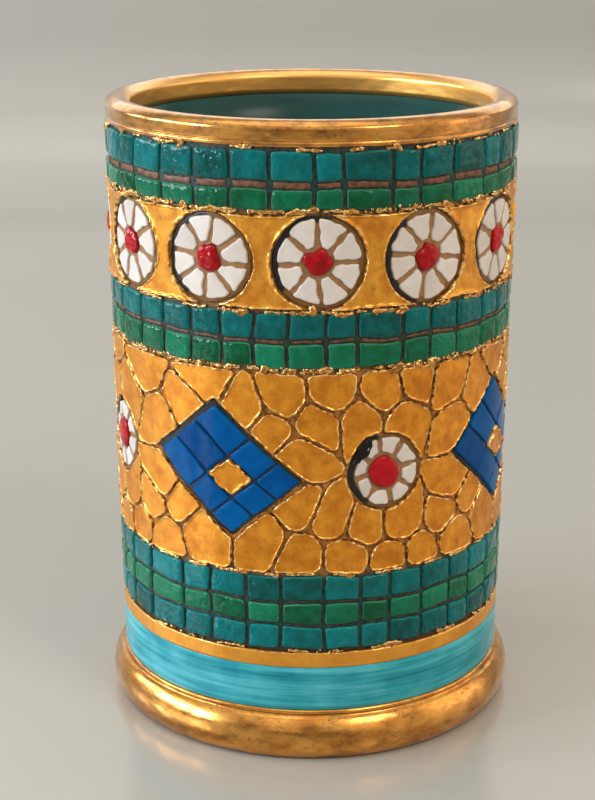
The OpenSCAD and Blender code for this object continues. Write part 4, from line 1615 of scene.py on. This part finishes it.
@dataclass
class Flower:
    """A flower of eight white petals round a red centre, in a bed of tan slip."""

    name: str
    seed: int
    rim: float = 0.75
    bite: float = 1.0
    # Headings in degrees of a black pad of painted shade at the side of the bed, if any.
    shaded_side: Pair | None = None
    centre: PadShape = BLOB
    bite_headings: Pair = (150.0, 205.0)
    bite_depths: Pair = (0.15, 1.0)
    bed_steps: int = 60
    bed_end: float = 6.2
    shade_steps: int = 24
    shade_rims: Pair = (0.3, 0.7)
    shade_width: float = 2.4

    def build(self, maker: PadMaker) -> None:
        """Makes the petals, the centre, the bed and, where one is asked for, a black pad of painted shade on
        one side.

        Args:
            maker: The maker of the pads.
        """
        petals, centre = self.name + "_petals", self.name + "_centre"
        leaves = maker.wall.gathered(petals)
        every = np.vstack(leaves)
        middle = (every.min(axis=0) + every.max(axis=0)) / 2
        r = float(np.linalg.norm(every - middle, axis=1).max()) + self.rim
        leaves = [self.bitten(leaf, middle, r - self.rim) for leaf in leaves]
        white = maker.make("white_" + petals, leaves, PETAL, WHITE_GLAZE.material(), self.seed)
        hand_over(white, Slot.WHITE, petals)
        domes = maker.wall.outlines(centre)
        red = maker.make("red_" + centre, domes, self.centre, RED_GLAZE.material(), self.seed + 1)
        hand_over(red, Slot.RED, centre)
        bed = np.array([on_circle(middle, r, turn) for turn in np.linspace(0, self.bed_end, self.bed_steps)])
        slip = maker.make(self.name + "_bed", [bed], BED, FLOWER_SLIP.material(), self.seed + 2)
        hand_over(slip, Slot.CLAY)
        if self.shaded_side:
            side = self.shade_pad(middle, r)
            black = maker.make(self.name + "_scorch", [side], SHADE_SHAPE, PAINTED_SHADE_GLAZE.material(), self.seed + 3)
            hand_over(black, Slot.CLAY)

    def shade_pad(self, middle: np.ndarray, r: float) -> np.ndarray:
        """Lays out the crescent of painted shade at one side of the bed.

        Args:
            middle: Middle of the flower.
            r: Radius of the bed.

        Returns:
            The outline of the crescent.
        """
        turns = np.radians(np.linspace(*self.shaded_side, self.shade_steps))
        share = 0.5 - 0.5 * np.cos(np.linspace(0.0, 2 * math.pi, self.shade_steps))
        near, far = self.shade_rims
        outer = [on_circle(middle, r - near, turn) for turn in turns]
        inner = [on_circle(middle, r - far - self.shade_width * s, turn) for turn, s in zip(turns, share)]
        return np.array(outer + inner[::-1])

    def bitten(self, leaf: np.ndarray, middle: np.ndarray, reach: float) -> np.ndarray:
        """Draws the outer edge of a petal in on the side where the bed is painted black as shade.

        Args:
            leaf: The outline of the petal.
            middle: Middle of the flower.
            reach: Radius of the flower.

        Returns:
            The outline, drawn in.
        """
        chance = np.random.default_rng(self.seed)
        heading = math.radians(chance.uniform(*self.bite_headings))
        deep = self.bite * chance.uniform(*self.bite_depths)
        away = leaf - middle
        far = np.linalg.norm(away, axis=1)
        facing = np.clip(np.cos(np.arctan2(away[:, 1], away[:, 0]) - heading), 0.0, 1.0)
        kept = np.minimum(far, reach - deep * facing**1.5)
        return middle + away * (kept / far)[:, None]


@dataclass
class Lozenge:
    """A chequered lozenge: eight cobalt tiles round a gilt one, in a bed of dark slip whose black rim is
    painted shade.
    """

    name: str
    seed: int
    rim: float = 0.8
    rim_share: float = 1.6
    # Shift of the bed, so that its painted shade shows most to the upper left.
    shade_shift: Pair = (-0.5, 0.3)

    def build(self, maker: PadMaker) -> None:
        """Makes the tiles, the middle and the bed, which is shifted to the upper left so that its painted
        shade shows most there.

        Args:
            maker: The maker of the pads.
        """
        tiles, centre = self.name + "_tiles", self.name + "_centre"
        loops = maker.wall.gathered(tiles)
        cobalt = maker.make("cobalt_" + tiles, loops, LOZENGE_TILE, COBALT_GLAZE.material(), self.seed)
        hand_over(cobalt, Slot.COBALT, tiles)
        inner = maker.wall.outlines(centre)
        gilt = maker.make("gilt_" + centre, inner, LOZENGE_MIDDLE, SATIN_GOLD.material(), self.seed + 1)
        hand_over(gilt, Slot.GOLD, centre)
        bed = self.grown(np.vstack(loops))
        slip = maker.make(self.name + "_bed", [bed], BED, LOZENGE_SLIP.material(), self.seed + 2)
        hand_over(slip, Slot.CLAY)

    def grown(self, points: np.ndarray) -> np.ndarray:
        """Lays out the bed through the four outermost points, grown by the rim and shifted.

        Args:
            points: Points of the tiles.

        Returns:
            The outline of the bed.
        """
        least, most = points.argmin(axis=0), points.argmax(axis=0)
        corners = points[[least[1], most[0], most[1], least[0]]]
        middle = corners.mean(axis=0)
        away = corners - middle
        length = np.linalg.norm(away, axis=1, keepdims=True)
        return middle + np.array(self.shade_shift) + away * (1.0 + self.rim_share * self.rim / length)


@dataclass
class GiltGround:
    """Gilded pads that fill a zone: the ground of the frieze, or the crazy paving of the field."""

    node: str
    shape: PadShape
    seed: int
    gold: GoldLustre = SATIN_GOLD

    def build(self, maker: PadMaker) -> None:
        """Makes the pads.

        Args:
            maker: The maker of the pads.
        """
        loops = maker.wall.outlines(self.node)
        piece = maker.make("gilded_" + self.node, loops, self.shape, self.gold.material(), self.seed)
        hand_over(piece, Slot.GOLD, self.node)


@dataclass
class Border:
    """One border of the gilding: a ragged selvage where gold ran over the cut, with knots and crumbs in it.

    `cover` is the share of the way round that the selvage takes.
    """

    name: str
    low: float
    high: float
    cover: float
    crumbs: int
    seed: int
    most: float = 0.9
    knots: int = 0
    least: float = 0.35
    cluster: int = 7
    spread: float = 2.2
    reach: float = 0.6
    lift: float = 0.5
    run_length: Pair = (2.5, 8.0)
    run_gap: Pair = (0.3, 1.0)
    run_spread: Pair = (0.5, 1.5)
    run_slack: float = 0.25
    knot_width: Pair = (0.9, 1.9)
    knot_height: Pair = (0.6, 1.1)
    knot_shift: float = 0.3
    knot_lump: float = 0.25
    knot_steps: int = 14
    knot_clear: float = 3.0
    knot_seed: int = 1000

    def runs(self, wall: Wall) -> list[np.ndarray]:
        """Lays out the selvage in broken runs.

        Args:
            wall: The wall that carries it.

        Returns:
            The outline of each run.
        """
        chance = np.random.default_rng(self.seed)
        turn = 2 * math.pi * wall.unrolled_r
        at, loops = -turn / 2, []
        while at < turn / 2 - (self.run_length[1] + self.run_gap[1]):
            length = chance.uniform(*self.run_length)
            a = self.low + chance.uniform(0.0, self.run_slack)
            b = self.high - chance.uniform(0.0, self.run_slack)
            loops.append(np.array([(at, a), (at + length, a), (at + length, b), (at, b)]))
            gap = chance.uniform(*self.run_gap)
            at += length + gap + (1.0 / self.cover - 1.0) * length * chance.uniform(*self.run_spread)
        return loops

    def lumps(self, wall: Wall) -> list[np.ndarray]:
        """Lays out the knots, where the gold gathered thickly at the border.

        Args:
            wall: The wall that carries them.

        Returns:
            The outline of each knot.
        """
        chance = np.random.default_rng(self.seed + self.knot_seed)
        half = math.pi * wall.unrolled_r - self.knot_clear
        angles = np.linspace(0.0, 2 * math.pi, self.knot_steps, endpoint=False)
        loops = []
        for at in np.sort(chance.uniform(-half, half, self.knots)):
            wide, high = chance.uniform(*self.knot_width), chance.uniform(*self.knot_height)
            level = (self.low + self.high) / 2 + chance.uniform(-self.knot_shift, self.knot_shift)
            uneven = 1.0 + self.knot_lump * np.cos(2 * angles + chance.uniform(0.0, 6.28))
            across, up = wide * uneven * np.cos(angles), high * uneven * np.sin(angles)
            loops.append(np.stack([at + across, level + up], axis=1))
        return loops

    def build(self, maker: PadMaker, sprinkler: CrumbSprinkler) -> None:
        """Presses the selvage and its knots on and sprinkles the crumbs.

        Args:
            maker: The maker of the pads.
            sprinkler: The tool that places the crumbs.
        """
        wall = maker.wall
        ribbon = maker.make(
            "gilt_selvage_" + self.name, self.runs(wall), SELVAGE, RAW_GOLD.material(), self.seed
        )
        hand_over(ribbon, Slot.GOLD)
        if self.knots:
            lumps = maker.make(
                "gilt_knots_" + self.name, self.lumps(wall), KNOT, RAW_GOLD.material(), self.seed + 1
            )
            hand_over(lumps, Slot.GOLD)
        piece = sprinkler.use(
            "crumbs_" + self.name,
            bpy.data.meshes.new("crumbs_" + self.name),
            {
                "Count": self.crumbs,
                "Cluster": self.cluster,
                "Cluster spread": self.spread,
                "Border height": (self.low + self.high) / 2,
                "Border reach": self.reach,
                "Wall radius": wall.radius(0.0),
                "Wall flare": wall.flare,
                "Lift": self.lift,
                "Least size": self.least,
                "Most size": self.most,
                "Seed": self.seed,
                "Material": RAW_GOLD.material(),
            },
        )
        hand_over(piece, Slot.GOLD)


@dataclass(frozen=True)
class Lamp:
    """One soft light: its place, the point that it faces, its width and height, its watts and its colour."""

    name: str
    at: tuple[float, float, float]
    towards: tuple[float, float, float]
    size: Pair
    watts: float
    colour: str

    def hang(self) -> None:
        """Hangs the light."""
        lamp = bpy.data.lights.new(self.name, "AREA")
        lamp.shape, lamp.size, lamp.size_y = "RECTANGLE", self.size[0] * MM, self.size[1] * MM
        lamp.energy, lamp.color = self.watts, linear(self.colour)[:3]
        hung = bpy.data.objects.new(self.name, lamp)
        hung.location = Vector(self.at) * MM
        facing = Vector(self.towards) - Vector(self.at)
        hung.rotation_euler = facing.to_track_quat("-Z", "Y").to_euler()
        bpy.context.scene.collection.objects.link(hung)


@dataclass
class Studio:
    """A pale floor and backdrop, soft light from a window side, and the camera.

    A pane has a name, a place and a power. A glow of the room has the axis that it grows along, the values
    where it starts and ends, a strength and a colour.
    """

    frame_height: int = 800
    focal_pixels: float = 1780.0
    eye: tuple[float, float, float] = (0.0, -390.2, 188.4)
    pitch: float = 17.2
    yaw: float = 0.444
    floor_colour: str = "#aaaaa4"
    floor_clouds: str = "#9e9c94"
    floor_polish: float = 0.2
    floor_cloud_size: float = 300.0
    floor_depth: Pair = (-1600.0, 640.0)
    bend: float = 90.0
    backdrop_height: float = 1500.0
    half_width: float = 1900.0
    ambient: float = 0.16
    panes: tuple[tuple[str, tuple[float, float, float], float], ...] = (
        ("far_pane", (-890.0, 300.0, 340.0), 1.7),
        ("left_pane", (-958.0, -20.0, 340.0), 2.9),
        ("right_pane", (-930.0, -220.0, 340.0), 2.0),
        ("near_pane", (-850.0, -430.0, 340.0), 2.9),
    )
    pane_aim: tuple[float, float, float] = (0.0, 0.0, 70.0)
    pane_size: Pair = (140.0, 260.0)
    pane_colour: str = "#f2f7ff"
    lamps: tuple[Lamp, ...] = (
        Lamp("room_card", (930, 60, 300), (0, 0, 60), (700, 700), 1.3, "#fff0dc"),
        Lamp("back_card", (0, 560, 430), (0, 0, 130), (1500, 300), 1.6, "#fff8f0"),
        Lamp("front_fill", (150, -1300, 1000), (0, 0, 60), (2000, 1500), 4.4, "#fff0e4"),
        Lamp("right_panel", (720, -780, 1050), (0, 0, 60), (420, 420), 4.8, "#fff2e2"),
        Lamp("ceiling_light", (-80, 100, 1300), (0, 0, 60), (900, 900), 2.8, "#fffaf2"),
    )
    glows: tuple[tuple[int, float, float, float, str], ...] = (
        (0, -0.1, -0.8, 0.48, "#f0f5ff"),
        (0, 0.1, 0.8, 0.56, "#ffeeda"),
        (2, 0.35, 0.95, 0.45, "#fffaf2"),
    )

    def build(self) -> None:
        """Builds the floor, the light and the camera."""
        self.floor()
        for name, at, watts in self.panes:
            Lamp("window_" + name, at, self.pane_aim, self.pane_size, watts, self.pane_colour).hang()
        for lamp in self.lamps:
            lamp.hang()
        self.room()
        self.camera()
        bpy.context.scene.view_settings.view_transform = "Standard"

    def room(self) -> None:
        """Gives the room its soft glow: bright on the window side, warm on the other, dim in front."""
        world = bpy.data.worlds.new("soft room")
        bpy.context.scene.world = world
        world.use_nodes = True
        tree = world.node_tree
        add = partial(add_node, tree)
        dim = tree.nodes["Background"]
        dim.inputs["Color"].default_value = linear("#fff4ea")
        dim.inputs["Strength"].default_value = self.ambient
        ways = add("ShaderNodeSeparateXYZ", {0: add("ShaderNodeTexCoord").outputs["Generated"]}).outputs
        glow = dim.outputs[0]
        for axis, start, end, strength, colour in self.glows:
            share = add(
                "ShaderNodeMapRange", {0: ways[axis], 1: start, 2: end, 3: 0.0, 4: strength},
                interpolation_type="SMOOTHSTEP",
            ).outputs[0]
            side = add("ShaderNodeBackground", {"Color": linear(colour), "Strength": share}).outputs[0]
            glow = add("ShaderNodeAddShader", {0: glow, 1: side}).outputs[0]
        tree.links.new(glow, tree.nodes["World Output"].inputs[0])

    def floor(self) -> None:
        """Builds one sheet that is the floor and bends up into the backdrop."""
        front, back = self.floor_depth
        section = [(front, 0.0), (-300.0, 0.0), (0.0, 0.0), (back - self.bend, 0.0)]
        section += [(back - self.bend + r, self.bend + z) for r, z in arc((0.0, 0.0), self.bend, -85, 0, 12)]
        section += [(back, self.backdrop_height)]
        points = [(x * MM, y * MM, z * MM) for y, z in section for x in (-self.half_width, self.half_width)]
        faces = [(2 * i, 2 * i + 1, 2 * i + 3, 2 * i + 2) for i in range(len(section) - 1)]
        mesh = bpy.data.meshes.new("floor")
        mesh.from_pydata(points, [], faces)
        mesh.shade_smooth()
        material = bpy.data.materials.new("pale lacquered board")
        material.use_nodes = True
        tree = material.node_tree
        add = partial(add_node, tree)
        shader = tree.nodes["Principled BSDF"]
        place = add("ShaderNodeTexCoord").outputs["Object"]
        shader.inputs["Roughness"].default_value = self.floor_polish
        cloud = add(
            "ShaderNodeTexNoise", {"Vector": place, "Scale": per_mm(self.floor_cloud_size)}
        ).outputs[0]
        share = add("ShaderNodeMapRange", {0: cloud, 3: 0.0, 4: 0.3}).outputs[0]
        colour = add(
            "ShaderNodeMix", {0: share, 6: linear(self.floor_colour), 7: linear(self.floor_clouds)},
            data_type="RGBA",
        ).outputs[2]
        tree.links.new(colour, shader.inputs["Base Color"])
        mesh.materials.append(material)
        floor = bpy.data.objects.new("floor", mesh)
        bpy.context.scene.collection.objects.link(floor)

    def camera(self) -> None:
        """Stands the camera where it takes in the pot from the front and a little above."""
        lens = bpy.data.cameras.new("camera")
        lens.sensor_fit, lens.sensor_height = "VERTICAL", 36.0
        lens.lens = self.focal_pixels * lens.sensor_height / self.frame_height
        lens.clip_start = 0.01
        camera = bpy.data.objects.new("camera", lens)
        camera.location = Vector(self.eye) * MM
        camera.rotation_euler = (math.radians(90.0 - self.pitch), 0.0, math.radians(self.yaw))
        bpy.context.scene.collection.objects.link(camera)
        bpy.context.scene.camera = camera


# The pot


@dataclass
class MosaicPot:
    """The whole pot, sub-assembly by sub-assembly."""

    wall: Wall = field(default_factory=Wall)
    medallions: int = 12
    motifs: int = 4
    medallion_seed: int = 100
    flower_seed: int = 300
    lozenge_seed: int = 400
    seed_step: int = 10

    def build(self) -> None:
        """Builds and dresses every piece."""
        maker, wheel, sprinkler = PadMaker(self.wall), Wheel(), CrumbSprinkler()
        ClayBody().dress()
        ThrownRings(self.wall).build(wheel)
        teal, green = (Slot.TEAL, TEAL_GLAZE), (Slot.GREEN, GREEN_GLAZE)
        bands = (
            TileBand("upper_band", (("upper_teal_tiles", *teal), ("upper_green_tiles", *green)), seed=20),
            TileBand("middle_band", (("middle_teal_tiles", *teal), ("middle_green_tiles", *green)), seed=40),
            TileBand(
                "lower_band",
                (("lower_teal_tiles", *teal), ("lower_green_tiles", *green), ("base_teal_tiles", *teal)),
                seed=60,
            ),
        )
        for band in bands:
            band.build(maker)
        GiltGround("frieze_ground", FRIEZE_CELL, seed=80, gold=FRIEZE_GOLD).build(maker)
        GiltGround("gilt_paving", CELL, seed=90).build(maker)
        for k in range(1, self.medallions + 1):
            Flower(f"medallion_{k:02d}", self.medallion_seed + self.seed_step * k).build(maker)
        for k in range(1, self.motifs + 1):
            seed = self.flower_seed + self.seed_step * k
            # The four flowers get a black pad of painted shade on their upper left side.
            Flower(f"flower_{k:02d}", seed, shaded_side=(100.0, 175.0), centre=ROUND_BLOB).build(maker)
            Lozenge(f"lozenge_{k:02d}", self.lozenge_seed + self.seed_step * k).build(maker)
        borders = (
            Border("under_lip", 131.9, 132.9, cover=0.45, crumbs=60, seed=11, most=0.8, knots=6),
            Border("over_frieze", 119.5, 120.7, cover=0.7, crumbs=210, seed=12, knots=34),
            Border("under_frieze", 98.9, 100.0, cover=0.6, crumbs=180, seed=13, knots=34),
            Border("over_field", 86.9, 88.1, cover=0.85, crumbs=210, seed=14, knots=30),
            Border("under_field", 41.9, 43.0, cover=0.7, crumbs=24, seed=15, most=0.6),
            Border("over_line", 24.4, 25.4, cover=0.45, crumbs=60, seed=16, most=0.7),
        )
        for border in borders:
            border.build(maker, sprinkler)


def main() -> None:
    """Builds the pot and its studio, and reports each piece."""
    noise.seed_set(WAVER_SEED)
    logging.basicConfig(level=logging.INFO, format="%(name)s %(message)s")
    MosaicPot().build()
    Studio().build()


if __name__ == "__main__":
    main()
